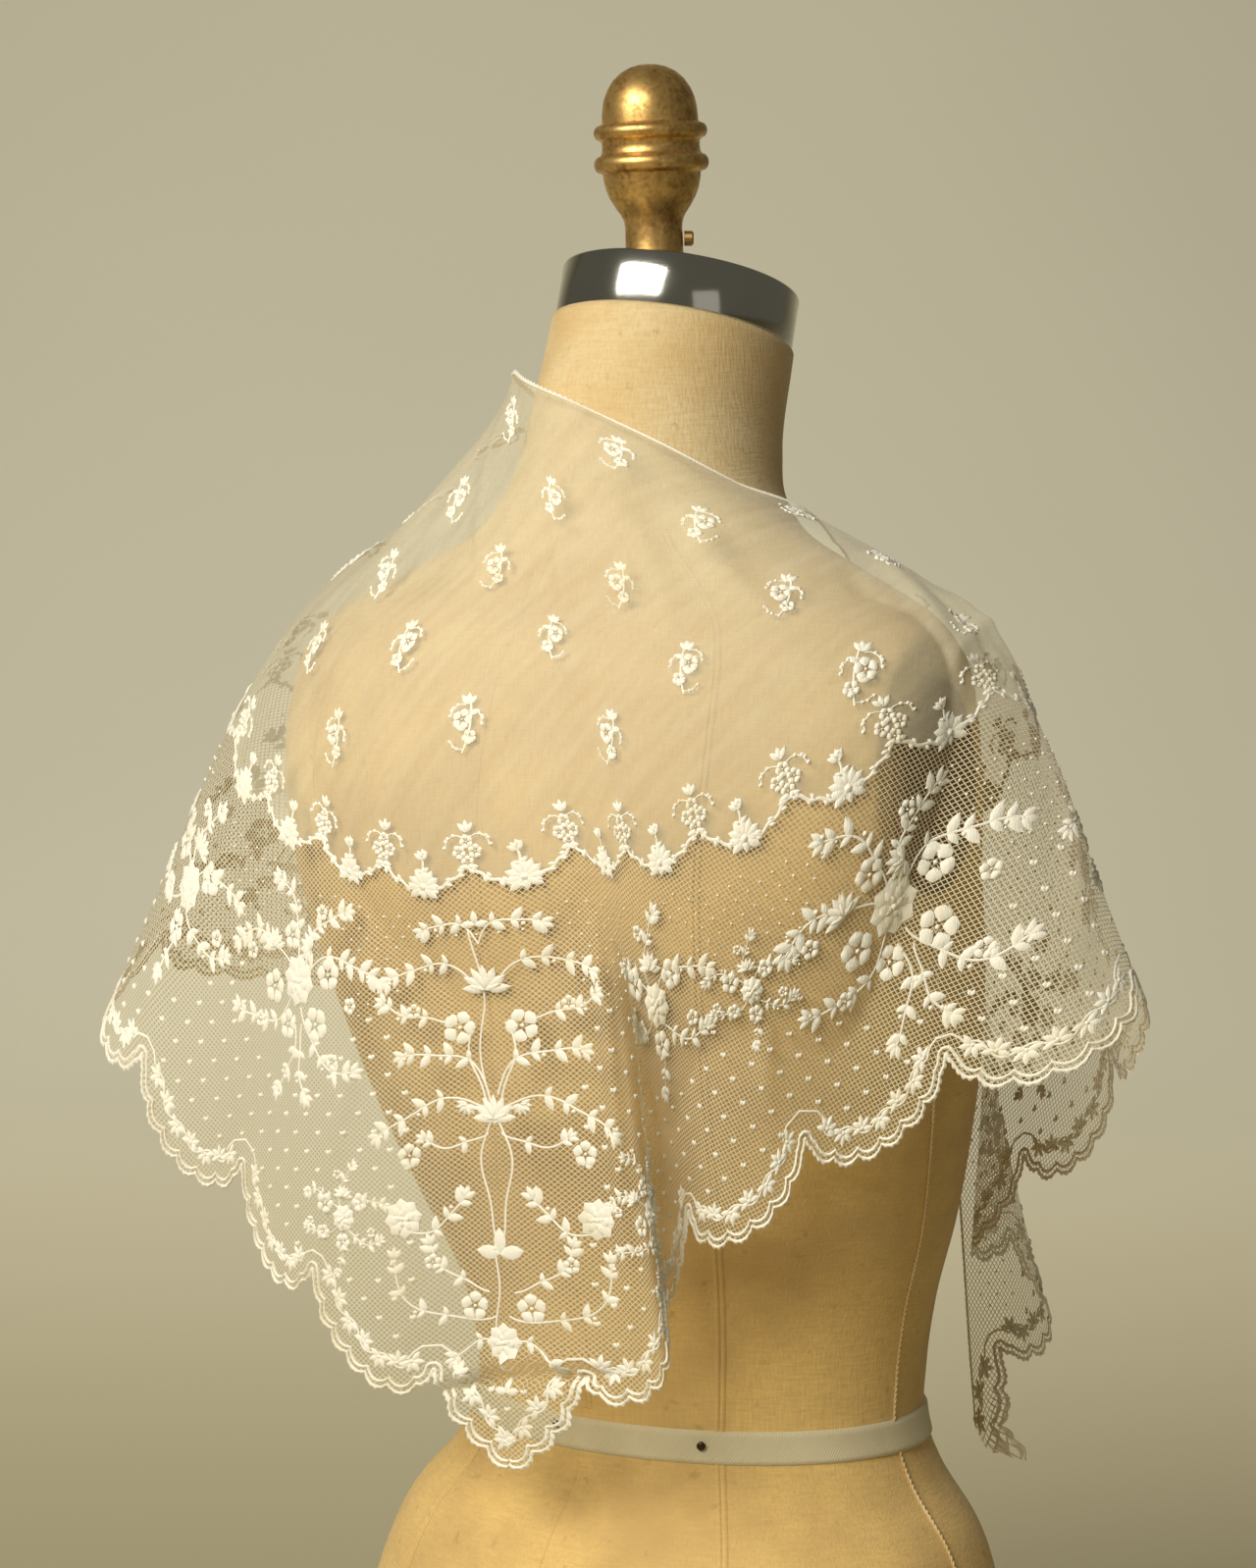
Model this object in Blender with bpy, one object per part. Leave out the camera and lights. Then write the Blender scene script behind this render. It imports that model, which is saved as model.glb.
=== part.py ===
"""A sheer lace-bordered kerchief worn on a limbless dress form.

The form faces -Y and stands on z = 0, with its own left side towards +X.
The kerchief is a flat triangle whose long edge lies round the neck, and
whose opposite corner hangs down the centre back. Every panel is a thin
wall: a place in the flat cut goes to a place in space along a fall line
that runs from the neck edge, over the shoulder, to the hem, and keeps its
length, so that the worn cloth has the size of its cut.
"""

import math
from collections import namedtuple

import bmesh
import bpy
import numpy as np

# Driving sizes of the kerchief, in metres
NECK_EDGE_HALF = 0.640
CORNER_DEPTH = 0.522
HEM_BOW = 1.08
FIELD_HALF = 0.340
FIELD_DEPTH = 0.262
FIELD_BOW = 1.70
WALL = 0.0012
SEAM = 0.0003
EDGING_WIDTH = 0.004
EDGING_GAP = 0.0006
FIELD_END_WIDTH = 0.006
CLEARANCE = 0.0022

# The hem has large lobes, and each lobe has small scallops
LOBES_A_SIDE = 10
SCALLOPS_A_LOBE = 6
LOBE_DEPTH = 0.024
SCALLOP_DEPTH = 0.0035

# How finely the walls are divided
COLUMNS_A_SIDE = 50
FIELD_COLUMNS = 64
FIELD_ROWS = 9
BORDER_ROWS = 8
HEM_SPLIT = 5

# Driving sizes of the dress form, in metres
FORM_SIDES = 44
BASE_THICKNESS = 0.012
BASE_SET_IN = 0.010
NECK_LEAN = math.radians(14.6)
NECK_TOP = 0.7545
LEAN_STARTS = 0.660
LEAN_GROWS = 0.060
ARMHOLE_PLANE = 0.164
BAND_RADIUS = 0.0540
BAND_HEIGHT = 0.0250
TAPE_HEIGHT = 0.264
TAPE_WIDTH = 0.0145
TAPE_THICKNESS = 0.0012
PIN_RADIUS = 0.0020
PIN_LENGTH = 0.0016
FINIAL_BACK = 0.0335
FINIAL_LEAN = math.radians(3.5)
SCREW_RADIUS = 0.0034
SCREW_LENGTH = 0.0042
SCREW_CHAMFER = 0.0008
BAND_CHAMFER = 0.0012

# The flat oval plate in each armhole
PLATE_BACK = 0.058
PLATE_HEIGHT = 0.560
PLATE_HALF_DEPTH = 0.030
PLATE_HALF_HEIGHT = 0.046
PLATE_THICKNESS = 0.004
PLATE_CHAMFER = 0.002

# One row for each level of the form, from the underside to the neck's top:
# height, how far its centre lies back, half width, half depth back and front
Level = namedtuple("Level", "height centre half_width half_back half_front")
FORM_LEVELS = [
    Level(0.0123, 0.004, 0.160, 0.120, 0.112),
    Level(0.060, 0.008, 0.167, 0.126, 0.114),
    Level(0.120, 0.010, 0.165, 0.123, 0.113),
    Level(0.182, 0.008, 0.158, 0.117, 0.109),
    Level(0.218, 0.004, 0.143, 0.105, 0.102),
    Level(0.244, 0.001, 0.121, 0.090, 0.092),
    Level(0.264, 0.000, 0.112, 0.085, 0.087),
    Level(0.288, 0.000, 0.112, 0.085, 0.089),
    Level(0.319, 0.003, 0.118, 0.088, 0.094),
    Level(0.360, 0.013, 0.134, 0.096, 0.106),
    Level(0.400, 0.026, 0.147, 0.101, 0.121),
    Level(0.440, 0.038, 0.157, 0.104, 0.134),
    Level(0.480, 0.049, 0.166, 0.106, 0.134),
    Level(0.520, 0.057, 0.173, 0.106, 0.122),
    Level(0.560, 0.060, 0.178, 0.103, 0.110),
    Level(0.590, 0.059, 0.177, 0.097, 0.100),
    Level(0.615, 0.057, 0.170, 0.088, 0.091),
    Level(0.632, 0.054, 0.153, 0.078, 0.081),
    Level(0.648, 0.050, 0.120, 0.069, 0.071),
    Level(0.664, 0.045, 0.085, 0.063, 0.064),
    Level(0.682, 0.040, 0.066, 0.0585, 0.060),
    Level(0.710, 0.0335, 0.0575, 0.0555, 0.057),
    Level(NECK_TOP, 0.0200, 0.0545, 0.0545, 0.0545),
]

# One row for each turned level of the finial: height above the neck band
# and radius
Turn = namedtuple("Turn", "height radius")
FINIAL_TURNS = [
    Turn(0.0000, 0.0132),
    Turn(0.0120, 0.0129),
    Turn(0.0205, 0.0130),
    Turn(0.0240, 0.0142),
    Turn(0.0330, 0.0196),
    Turn(0.0400, 0.0217),
    Turn(0.0435, 0.0219),
    Turn(0.0447, 0.0251),
    Turn(0.0475, 0.0256),
    Turn(0.0503, 0.0248),
    Turn(0.0520, 0.0222),
    Turn(0.0570, 0.0220),
    Turn(0.0588, 0.0248),
    Turn(0.0613, 0.0254),
    Turn(0.0640, 0.0246),
    Turn(0.0652, 0.0215),
    Turn(0.0720, 0.0212),
    Turn(0.0790, 0.0192),
    Turn(0.0850, 0.0154),
    Turn(0.0890, 0.0104),
    Turn(0.0912, 0.0050),
]

# One row for each fall line, from the end on the form's left front, over
# its back, to the end on its right front. neck_at is the place along the
# neck edge and hem_at the share of the hem's leg, both 0 at the centre
# back and positive on the left. The neck, turn and foot columns are places
# in space: where the line starts, where the cloth turns over the shoulder
# or leaves the body, and where it meets the hem, whose height follows
# from the line's own length. taken is the length that small wrinkles and
# the round of the shoulder take up before the turn.
Fall = namedtuple(
    "Fall",
    "neck_at hem_at neck_x neck_y neck_z turn_x turn_y turn_z foot_x foot_y taken",
)
FALLS = [
    Fall(0.620, 0.985, 0.066, -0.116, 0.215, 0.070, -0.117, 0.209, 0.075, -0.118, 0.0),
    Fall(0.430, 0.900, 0.055, -0.110, 0.390, 0.075, -0.116, 0.340, 0.090, -0.120, 0.0),
    Fall(0.270, 0.760, 0.045, -0.092, 0.545, 0.090, -0.104, 0.480, 0.118, -0.112, 0.0),
    Fall(0.165, 0.620, 0.038, -0.055, 0.642, 0.130, -0.050, 0.594, 0.180, -0.082, 0.004),
    Fall(0.115, 0.510, 0.055, -0.022, 0.693, 0.186, 0.020, 0.634, 0.248, 0.035, 0.010),
    Fall(0.085, 0.420, 0.066, 0.010, 0.714, 0.190, 0.075, 0.636, 0.240, 0.136, 0.008),
    Fall(0.050, 0.310, 0.068, 0.040, 0.730, 0.139, 0.134, 0.607, 0.180, 0.156, 0.008),
    Fall(0.022, 0.150, 0.061, 0.059, 0.736, 0.064, 0.160, 0.580, 0.108, 0.150, 0.006),
    Fall(0.000, 0.000, 0.050, 0.071, 0.737, -0.004, 0.166, 0.577, 0.004, 0.134, 0.008),
    Fall(-0.020, -0.110, 0.034, 0.084, 0.733, -0.052, 0.163, 0.580, -0.090, 0.150, 0.014),
    Fall(-0.036, -0.200, 0.019, 0.0915, 0.729, -0.080, 0.155, 0.590, -0.066, 0.113, 0.006),
    Fall(-0.060, -0.330, -0.006, 0.095, 0.721, -0.118, 0.136, 0.610, -0.122, 0.106, 0.006),
    Fall(-0.095, -0.455, -0.043, 0.085, 0.704, -0.157, 0.092, 0.632, -0.190, 0.072, 0.024),
    Fall(-0.125, -0.555, -0.066, 0.064, 0.688, -0.182, 0.036, 0.635, -0.248, 0.016, 0.028),
    Fall(-0.170, -0.650, -0.086, 0.025, 0.669, -0.167, -0.010, 0.616, -0.206, -0.036, 0.020),
    Fall(-0.250, -0.745, -0.070, -0.040, 0.614, -0.118, -0.074, 0.536, -0.124, -0.092, 0.004),
    Fall(-0.330, -0.805, -0.064, -0.088, 0.550, -0.098, -0.098, 0.470, -0.088, -0.097, 0.0),
    Fall(-0.440, -0.880, -0.064, -0.112, 0.440, -0.088, -0.120, 0.390, -0.108, -0.132, 0.0),
    Fall(-0.630, -0.985, -0.078, -0.118, 0.240, -0.084, -0.119, 0.229, -0.094, -0.120, 0.0),
]
TURN_SOFTNESS = 0.085
HEM_END = FALLS[0].hem_at

# One row for each soft fold: its place along the hem, its half width there,
# how far it stands out, and the share of the fall at which it starts
Fold = namedtuple("Fold", "hem_at half_width height starts")
FOLDS = [
    Fold(0.800, 0.055, 0.012, 0.30),
    Fold(0.560, 0.050, -0.016, 0.45),
    Fold(0.350, 0.045, 0.012, 0.50),
    Fold(0.235, 0.050, -0.012, 0.45),
    Fold(0.075, 0.040, 0.008, 0.55),
    Fold(-0.270, 0.050, 0.010, 0.45),
    Fold(-0.390, 0.050, -0.012, 0.40),
    Fold(-0.510, 0.040, 0.014, 0.50),
    Fold(-0.605, 0.040, -0.014, 0.40),
]


def clear_scene():
    """Starts from an empty scene."""
    for thing in list(bpy.data.objects):
        bpy.data.objects.remove(thing, do_unlink=True)


def material(name, colour, roughness, metallic=0.0):
    """A plain finish with one colour."""
    made = bpy.data.materials.new(name)
    made.use_nodes = True
    shader = made.node_tree.nodes["Principled BSDF"]
    shader.inputs["Base Color"].default_value = (*colour, 1.0)
    shader.inputs["Roughness"].default_value = roughness
    shader.inputs["Metallic"].default_value = metallic
    return made


def smooth_rows(keys, values, at):
    """Values at the places asked for, on a smooth curve through the rows.

    Each stretch is a cubic whose slope at a row is the slope between that
    row's two neighbours.
    """
    keys = np.asarray(keys, float)
    values = np.asarray(values, float)
    slopes = np.gradient(values, keys, axis=0)
    at = np.clip(np.asarray(at, float), keys[0], keys[-1])
    row = np.clip(np.searchsorted(keys, at, side="right") - 1, 0, len(keys) - 2)
    span = keys[row + 1] - keys[row]
    s = ((at - keys[row]) / span)[..., None]
    span = span[..., None]
    start = (1 + 2 * s) * (1 - s) ** 2 * values[row]
    start_slope = s * (1 - s) ** 2 * span * slopes[row]
    end = s**2 * (3 - 2 * s) * values[row + 1]
    end_slope = s**2 * (s - 1) * span * slopes[row + 1]
    return start + start_slope + end + end_slope


def form_level(height):
    """Centre, half width, half back and half front at each height."""
    keys = [level.height for level in FORM_LEVELS]
    values = [level[1:] for level in FORM_LEVELS]
    return smooth_rows(keys, values, height)


def neck_slope(height):
    """How much a ring of the form rises towards the back, at each height."""
    return math.tan(NECK_LEAN) * np.clip((height - LEAN_STARTS) / LEAN_GROWS, 0, 1)


def form_reach(points):
    """How far out each point lies, in units of the form's own section there."""
    centre = form_level(points[..., 2])[..., 0]
    height = points[..., 2] - neck_slope(points[..., 2]) * (points[..., 1] - centre)
    centre, width, back, front = np.moveaxis(form_level(height), -1, 0)
    along = points[..., 1] - centre
    depth = np.where(along > 0, back, front)
    return np.hypot(points[..., 0] / width, along / depth)


def clear_of_form(points, gap):
    """Points moved out of the form along its slope until they clear it."""
    points = points.copy()
    step = 0.0005
    for _ in range(5):
        reach = form_reach(points)
        slope = np.empty_like(points)
        for axis in range(3):
            moved = points.copy()
            moved[..., axis] += step
            slope[..., axis] = (form_reach(moved) - reach) / step
        steep = np.linalg.norm(slope, axis=-1)
        distance = (reach - 1.0) / steep
        short = np.clip(gap - distance, 0.0, 0.02)
        points += slope / steep[..., None] * short[..., None]
    return points


def bowed_triangle(half, depth, bow, share):
    """Points of a bowed triangle's leg at shares of its length.

    The leg runs from the corner (0, depth) to the end (half, 0), where
    (a / half) ** bow + (b / depth) ** bow is 1.
    """
    turn = np.linspace(0, math.pi / 2, 2001)
    a = half * np.sin(turn) ** (2 / bow)
    b = depth * np.cos(turn) ** (2 / bow)
    run = np.concatenate([[0], np.cumsum(np.hypot(np.diff(a), np.diff(b)))])
    at = np.abs(share) * run[-1]
    side = np.sign(share)
    place = np.stack([np.interp(at, run, a) * side, np.interp(at, run, b)], axis=-1)
    return place, run[-1]


HEM_LEG = bowed_triangle(NECK_EDGE_HALF, CORNER_DEPTH, HEM_BOW, np.zeros(1))[1]


def neck_place(hem_at):
    """The place along the neck edge where the fall line to hem_at starts."""
    keys = [fall.hem_at for fall in reversed(FALLS)]
    return smooth_rows(keys, [[fall.neck_at] for fall in reversed(FALLS)], hem_at)[..., 0]


def flat_fall(hem_at):
    """Flat start and end of each fall line."""
    start = neck_place(hem_at)
    foot = bowed_triangle(NECK_EDGE_HALF, CORNER_DEPTH, HEM_BOW, hem_at)[0]
    return np.stack([start, np.zeros_like(start)], axis=-1), foot


def field_share(hem_at):
    """The share of each fall line that lies in the field, by halving."""
    start, foot = flat_fall(hem_at)
    low = np.zeros(hem_at.shape)
    high = np.ones(hem_at.shape)
    for _ in range(40):
        middle = (low + high) / 2
        place = start + (foot - start) * middle[..., None]
        reach = (np.abs(place[..., 0]) / FIELD_HALF) ** FIELD_BOW
        reach += (np.maximum(place[..., 1], 0) / FIELD_DEPTH) ** FIELD_BOW
        low = np.where(reach < 1, middle, low)
        high = np.where(reach < 1, high, middle)
    return low


def soft_ramp(t, turn):
    """Nought before the turn and rising after it, rounded at the turn."""
    raw = TURN_SOFTNESS * np.logaddexp(0, (t - turn) / TURN_SOFTNESS)
    first = TURN_SOFTNESS * np.logaddexp(0, -turn / TURN_SOFTNESS)
    last = TURN_SOFTNESS * np.logaddexp(0, (1 - turn) / TURN_SOFTNESS)
    return (raw - first) * (1 - turn) / (last - first)


def fall_lines(hem_at, t):
    """The cloth before its folds: a place on each fall line at share t."""
    keys = [fall.hem_at for fall in reversed(FALLS)]
    rows = smooth_rows(keys, [fall[2:] for fall in reversed(FALLS)], hem_at)
    neck, turn = rows[..., 0:3], rows[..., 3:6]
    start, end = flat_fall(hem_at)
    length = np.linalg.norm(end - start, axis=-1)
    upper = np.linalg.norm(turn - neck, axis=-1)
    taken = rows[..., 8]
    lower = np.maximum(length - upper - taken, 0.3 * length)
    out = np.linalg.norm(rows[..., 6:8] - turn[..., 0:2], axis=-1)
    drop = np.sqrt(np.maximum(lower**2 - out**2, (0.2 * lower) ** 2))
    foot_z = turn[..., 2] - drop
    foot = np.concatenate([rows[..., 6:8], foot_z[..., None]], axis=-1)
    share = (upper + taken) / (upper + taken + lower)
    after = soft_ramp(t, share)[..., None]
    share = share[..., None]
    before = t[..., None] - after
    return neck + (turn - neck) * before / share + (foot - turn) * after / (1 - share)


def normals_of(surface, hem_at, t):
    """Unit normals of a surface function, pointing away from the form."""
    step = 0.002
    hem_at = np.clip(hem_at, -HEM_END, HEM_END)
    high = np.minimum(hem_at + step, HEM_END)
    low = np.maximum(hem_at - step, -HEM_END)
    across = surface(high, t) - surface(low, t)
    down = surface(hem_at, t + step) - surface(hem_at, t - step)
    normal = np.cross(across, down)
    return normal / np.linalg.norm(normal, axis=-1)[..., None]


def folded(hem_at, t):
    """The cloth with its soft folds, before it is set clear of the form."""
    places = fall_lines(hem_at, t)
    normal = normals_of(fall_lines, hem_at, t)
    rise = np.zeros(np.broadcast(hem_at, t).shape)
    for fold in FOLDS:
        width = fold.half_width * (0.55 + 0.45 * np.clip(t, 0, 1))
        across = np.exp(-(((hem_at - fold.hem_at) / width) ** 2))
        down = np.clip((t - fold.starts) / (1 - fold.starts), 0, None) ** 1.3
        rise += fold.height * across * down
    return places + normal * rise[..., None]


def drape(hem_at, t):
    """The middle of the cloth, clear of the form."""
    hem_at, t = np.broadcast_arrays(np.asarray(hem_at, float), np.asarray(t, float))
    return clear_of_form(folded(hem_at, t), CLEARANCE + WALL / 2)


def scallops(hem_at):
    """How far the hem stands beyond its plain line: lobes with scallops.

    One lobe has its middle at the corner, so half of it lies on each side.
    """
    along = np.abs(hem_at) * LOBES_A_SIDE
    lobe = np.abs(np.cos(math.pi * along)) ** 0.6
    small = np.abs(np.sin(math.pi * along * SCALLOPS_A_LOBE)) ** 0.8
    return LOBE_DEPTH * (lobe - 1) + SCALLOP_DEPTH * small


def fall_length(hem_at):
    """The flat length of each fall line."""
    start, foot = flat_fall(hem_at)
    return np.linalg.norm(foot - start, axis=-1)


def panel_mesh(name, outer, inner, finish, split=1):
    """A closed wall between two sheets of points.

    Each sheet has rows of points. The last row may be split times finer
    than the others, and is joined to them by fans.
    """
    rows = len(outer)
    columns = len(outer[0])
    sheets = [np.concatenate(outer), np.concatenate(inner)]
    points = np.concatenate(sheets)
    lift = len(sheets[0])
    fine = len(outer[-1])
    faces = []
    for row in range(rows - 1 - (split > 1)):
        for column in range(columns - 1):
            corner = row * columns + column
            faces.append((corner, corner + 1, corner + columns + 1, corner + columns))
    last = (rows - 1) * columns
    if split > 1:
        half = split // 2
        for column in range(columns - 1):
            left = (rows - 2) * columns + column
            first = last + column * split
            for part in range(split):
                apex = left if part < half else left + 1
                faces.append((apex, first + part + 1, first + part))
            faces.append((left, left + 1, first + half))
    faces += [tuple(lift + corner for corner in reversed(face)) for face in faces]
    rim = list(range(columns - 1))
    rim += [row * columns + columns - 1 for row in range(rows - 1)]
    rim += list(range(last + fine - 1, last, -1))
    rim += [row * columns for row in range(rows - 1, 0, -1)]
    for here, there in zip(rim, rim[1:] + rim[:1]):
        faces.append((there, here, lift + here, lift + there))
    return closed_object(name, points, faces, finish)


def closed_object(name, points, faces, finish):
    """An object from points and faces, with its faces pointing out."""
    mesh = bpy.data.meshes.new(name)
    mesh.from_pydata([tuple(point) for point in points], [], faces)
    shape = bmesh.new()
    shape.from_mesh(mesh)
    bmesh.ops.recalc_face_normals(shape, faces=shape.faces)
    shape.to_mesh(mesh)
    shape.free()
    mesh.shade_smooth()
    mesh.set_sharp_from_angle(angle=math.radians(40))
    mesh.materials.append(finish)
    made = bpy.data.objects.new(name, mesh)
    bpy.context.scene.collection.objects.link(made)
    return made


def wall_sheets(hem_rows, t_rows, out=0.0, thickness=WALL):
    """Outer and inner points of a wall, row by row."""
    outer, inner = [], []
    for hem_at, t in zip(hem_rows, t_rows):
        middle = drape(hem_at, t)
        normal = normals_of(drape, hem_at, t)
        outer.append(middle + normal * (out + thickness / 2))
        inner.append(middle + normal * (out - thickness / 2))
    return outer, inner


def field_end(side):
    """Where the field runs out to a narrow end, on one side."""
    hem_at = np.linspace(0.4, HEM_END, 1200)
    width = field_share(side * hem_at) * fall_length(side * hem_at)
    return float(hem_at[np.argmax(width < FIELD_END_WIDTH)])


def field_columns():
    """The fall lines that divide the field."""
    return np.linspace(-field_end(-1), field_end(1), FIELD_COLUMNS)


def border_columns(side):
    """The fall lines that divide a border, beside the field and beyond it."""
    end = field_end(side)
    beside = np.linspace(SEAM / HEM_LEG / 2, end, COLUMNS_A_SIDE * 2 // 3)
    count = COLUMNS_A_SIDE - len(beside)
    return beside, np.linspace(end + SEAM / HEM_LEG, HEM_END, count)


def make_field(finish):
    """The plain-woven middle of the kerchief, with one shallow curved side."""
    hem_at = field_columns()
    share = field_share(hem_at) - SEAM / 2 / fall_length(hem_at)
    downs = np.linspace(0, 1, FIELD_ROWS + 1)
    t_rows = [share * down for down in downs]
    outer, inner = wall_sheets([hem_at] * len(downs), t_rows)
    return panel_mesh("kerchief_field", outer, inner, finish)


def make_border(name, side, finish):
    """The net border of one side, from the mitre to the front end."""
    leg, rest = border_columns(side)
    share = field_share(side * leg) + SEAM / 2 / fall_length(side * leg)
    share = np.concatenate([share, np.zeros(len(rest))])
    leg = np.concatenate([leg, rest])
    fine = np.interp(
        np.arange((len(leg) - 1) * HEM_SPLIT + 1) / HEM_SPLIT, np.arange(len(leg)), leg
    )
    downs = np.linspace(0, 1, BORDER_ROWS + 1)[:-1]
    near_hem = 1 - (LOBE_DEPTH + 0.004) / np.maximum(fall_length(leg * side), 0.03)
    t_rows = [share + (near_hem - share) * down / downs[-1] for down in downs]
    t_rows.append(1 + scallops(fine) / np.maximum(fall_length(fine * side), 0.03))
    hem_rows = [leg * side] * len(downs) + [fine * side]
    outer, inner = wall_sheets(hem_rows, t_rows)
    return panel_mesh(name, outer, inner, finish, HEM_SPLIT)


def make_neck_edging(finish):
    """The narrow corded edging along the whole neck edge."""
    right, left = border_columns(-1)[1], border_columns(1)[1]
    hem_at = np.concatenate([-right[::-1], field_columns(), left])
    length = np.maximum(fall_length(hem_at), 0.03)
    t_rows = [-(EDGING_WIDTH + EDGING_GAP) / length, -EDGING_GAP / length]
    outer, inner = wall_sheets([hem_at] * 2, t_rows, thickness=0.0016)
    return panel_mesh("kerchief_neck_edging", outer, inner, finish)


def ring_mesh(name, rings, finish):
    """A closed body through rings of points, with flat ends."""
    rings = np.asarray(rings)
    count, around = rings.shape[:2]
    faces = []
    for ring in range(count - 1):
        for corner in range(around):
            here = ring * around + corner
            there = ring * around + (corner + 1) % around
            faces.append((here, there, there + around, here + around))
    faces.append(tuple(reversed(range(around))))
    faces.append(tuple((count - 1) * around + corner for corner in range(around)))
    return closed_object(name, rings.reshape(-1, 3), faces, finish)


def form_ring(height, around, out=0.0):
    """One ring of the form at a height, moved out sideways by a distance.

    It is an ellipse with its own depth behind and in front, flat at the
    armholes. The rings of the neck lean with it.
    """
    centre, width, back, front = form_level(np.array(height))
    turn = np.linspace(0, 2 * math.pi, around, endpoint=False)
    x = (width + out) * np.sin(turn)
    depth = np.where(np.cos(turn) > 0, back, front) + out
    y = depth * np.cos(turn)
    x = np.clip(x, -ARMHOLE_PLANE, ARMHOLE_PLANE) if height > 0.4 else x
    return np.stack([x, y + centre, height + neck_slope(height) * y], axis=-1)


def make_torso(finish):
    """The padded and canvas-covered body, from the hips to the neck."""
    heights = [level.height for level in FORM_LEVELS if level.height != TAPE_HEIGHT]
    heights += [TAPE_HEIGHT - TAPE_WIDTH / 2, TAPE_HEIGHT + TAPE_WIDTH / 2]
    rings = [form_ring(height, FORM_SIDES) for height in sorted(heights)]
    return ring_mesh("form_torso", rings, finish)


def make_base(finish):
    """The wooden board that closes the form's underside and stands flat."""
    top = BASE_THICKNESS
    edge = form_ring(FORM_LEVELS[0].height, FORM_SIDES, out=-BASE_SET_IN)
    lower, upper = edge.copy(), edge.copy()
    lower[:, 2] = 0.0
    upper[:, 2] = top
    return ring_mesh("form_base", [lower, upper], finish)


def neck_axis():
    """The unit vector up the neck, which leans forward."""
    return np.array([0.0, -math.sin(NECK_LEAN), math.cos(NECK_LEAN)])


def turned_rings(centre, axis, turns, around):
    """Rings of a turned piece: distances along the axis, and radii."""
    side = np.array([1.0, 0.0, 0.0])
    other = np.cross(axis, side)
    turn = np.linspace(0, 2 * math.pi, around, endpoint=False)
    circle = np.cos(turn)[:, None] * side + np.sin(turn)[:, None] * other
    return [centre + axis * height + circle * radius for height, radius in turns]


def band_top():
    """The middle of the neck band's top."""
    foot = np.array([0.0, FORM_LEVELS[-1].centre, NECK_TOP])
    return foot + neck_axis() * (SEAM + BAND_HEIGHT)


def make_neck_band(finish):
    """The polished band and cap on top of the neck."""
    foot = np.array([0.0, FORM_LEVELS[-1].centre, NECK_TOP]) + neck_axis() * SEAM
    turns = [
        (0.0, BAND_RADIUS - BAND_CHAMFER),
        (BAND_CHAMFER, BAND_RADIUS),
        (BAND_HEIGHT - BAND_CHAMFER, BAND_RADIUS),
        (BAND_HEIGHT, BAND_RADIUS - BAND_CHAMFER),
    ]
    return ring_mesh("form_neck_band", turned_rings(foot, neck_axis(), turns, 48), finish)


def finial_axis():
    """The unit vector up the finial, which leans a little back."""
    return np.array([0.0, math.sin(FINIAL_LEAN), math.cos(FINIAL_LEAN)])


def finial_foot():
    """Where the finial's axis meets the top of the neck band."""
    top = band_top()
    slope = math.tan(NECK_LEAN)
    return np.array([0.0, FINIAL_BACK, top[2] + slope * (FINIAL_BACK - top[1])])


def make_finial(finish):
    """The turned knob, whose foot is cut to the slope of the neck band."""
    turns = [(turn.height, turn.radius) for turn in FINIAL_TURNS]
    rings = turned_rings(finial_foot(), finial_axis(), turns, 28)
    foot = rings[0]
    top = band_top()
    foot[:, 2] = top[2] + math.tan(NECK_LEAN) * (foot[:, 1] - top[1])
    foot[:, 2] += SEAM / math.cos(NECK_LEAN)
    return ring_mesh("form_finial", rings, finish)


def make_screw(finish):
    """The small screw that pinches the finial's shaft, on its right."""
    outward = np.array([-0.8, -0.6, 0.0])
    shaft = FINIAL_TURNS[1]
    start = finial_foot() + finial_axis() * (shaft.height + 0.002)
    start = start + outward * (shaft.radius + SEAM * 2)
    side = np.array([-outward[1], outward[0], 0.0])
    up = np.array([0.0, 0.0, 1.0])
    turn = np.linspace(0, 2 * math.pi, 12, endpoint=False)
    circle = np.cos(turn)[:, None] * side + np.sin(turn)[:, None] * up
    turns = [
        (0.0, SCREW_RADIUS),
        (SCREW_LENGTH - SCREW_CHAMFER, SCREW_RADIUS),
        (SCREW_LENGTH, SCREW_RADIUS - SCREW_CHAMFER),
    ]
    rings = [start + outward * height + circle * radius for height, radius in turns]
    return ring_mesh("form_set_screw", rings, finish)


def make_waist_tape(finish):
    """The cotton tape pinned round the waist, as a closed ring."""
    inside = 2 * SEAM
    outside = inside + TAPE_THICKNESS
    low = TAPE_HEIGHT - TAPE_WIDTH / 2
    high = TAPE_HEIGHT + TAPE_WIDTH / 2
    corners = [(low, inside), (low, outside), (high, outside), (high, inside)]
    points = [form_ring(height, FORM_SIDES, out) for height, out in corners]
    faces = []
    for ring in range(len(corners)):
        above = (ring + 1) % len(corners) * FORM_SIDES
        for side in range(FORM_SIDES):
            here = ring * FORM_SIDES + side
            turned = (side + 1) % FORM_SIDES
            there = ring * FORM_SIDES + turned
            faces.append((here, there, above + turned, above + side))
    return closed_object("form_waist_tape", np.concatenate(points), faces, finish)


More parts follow.
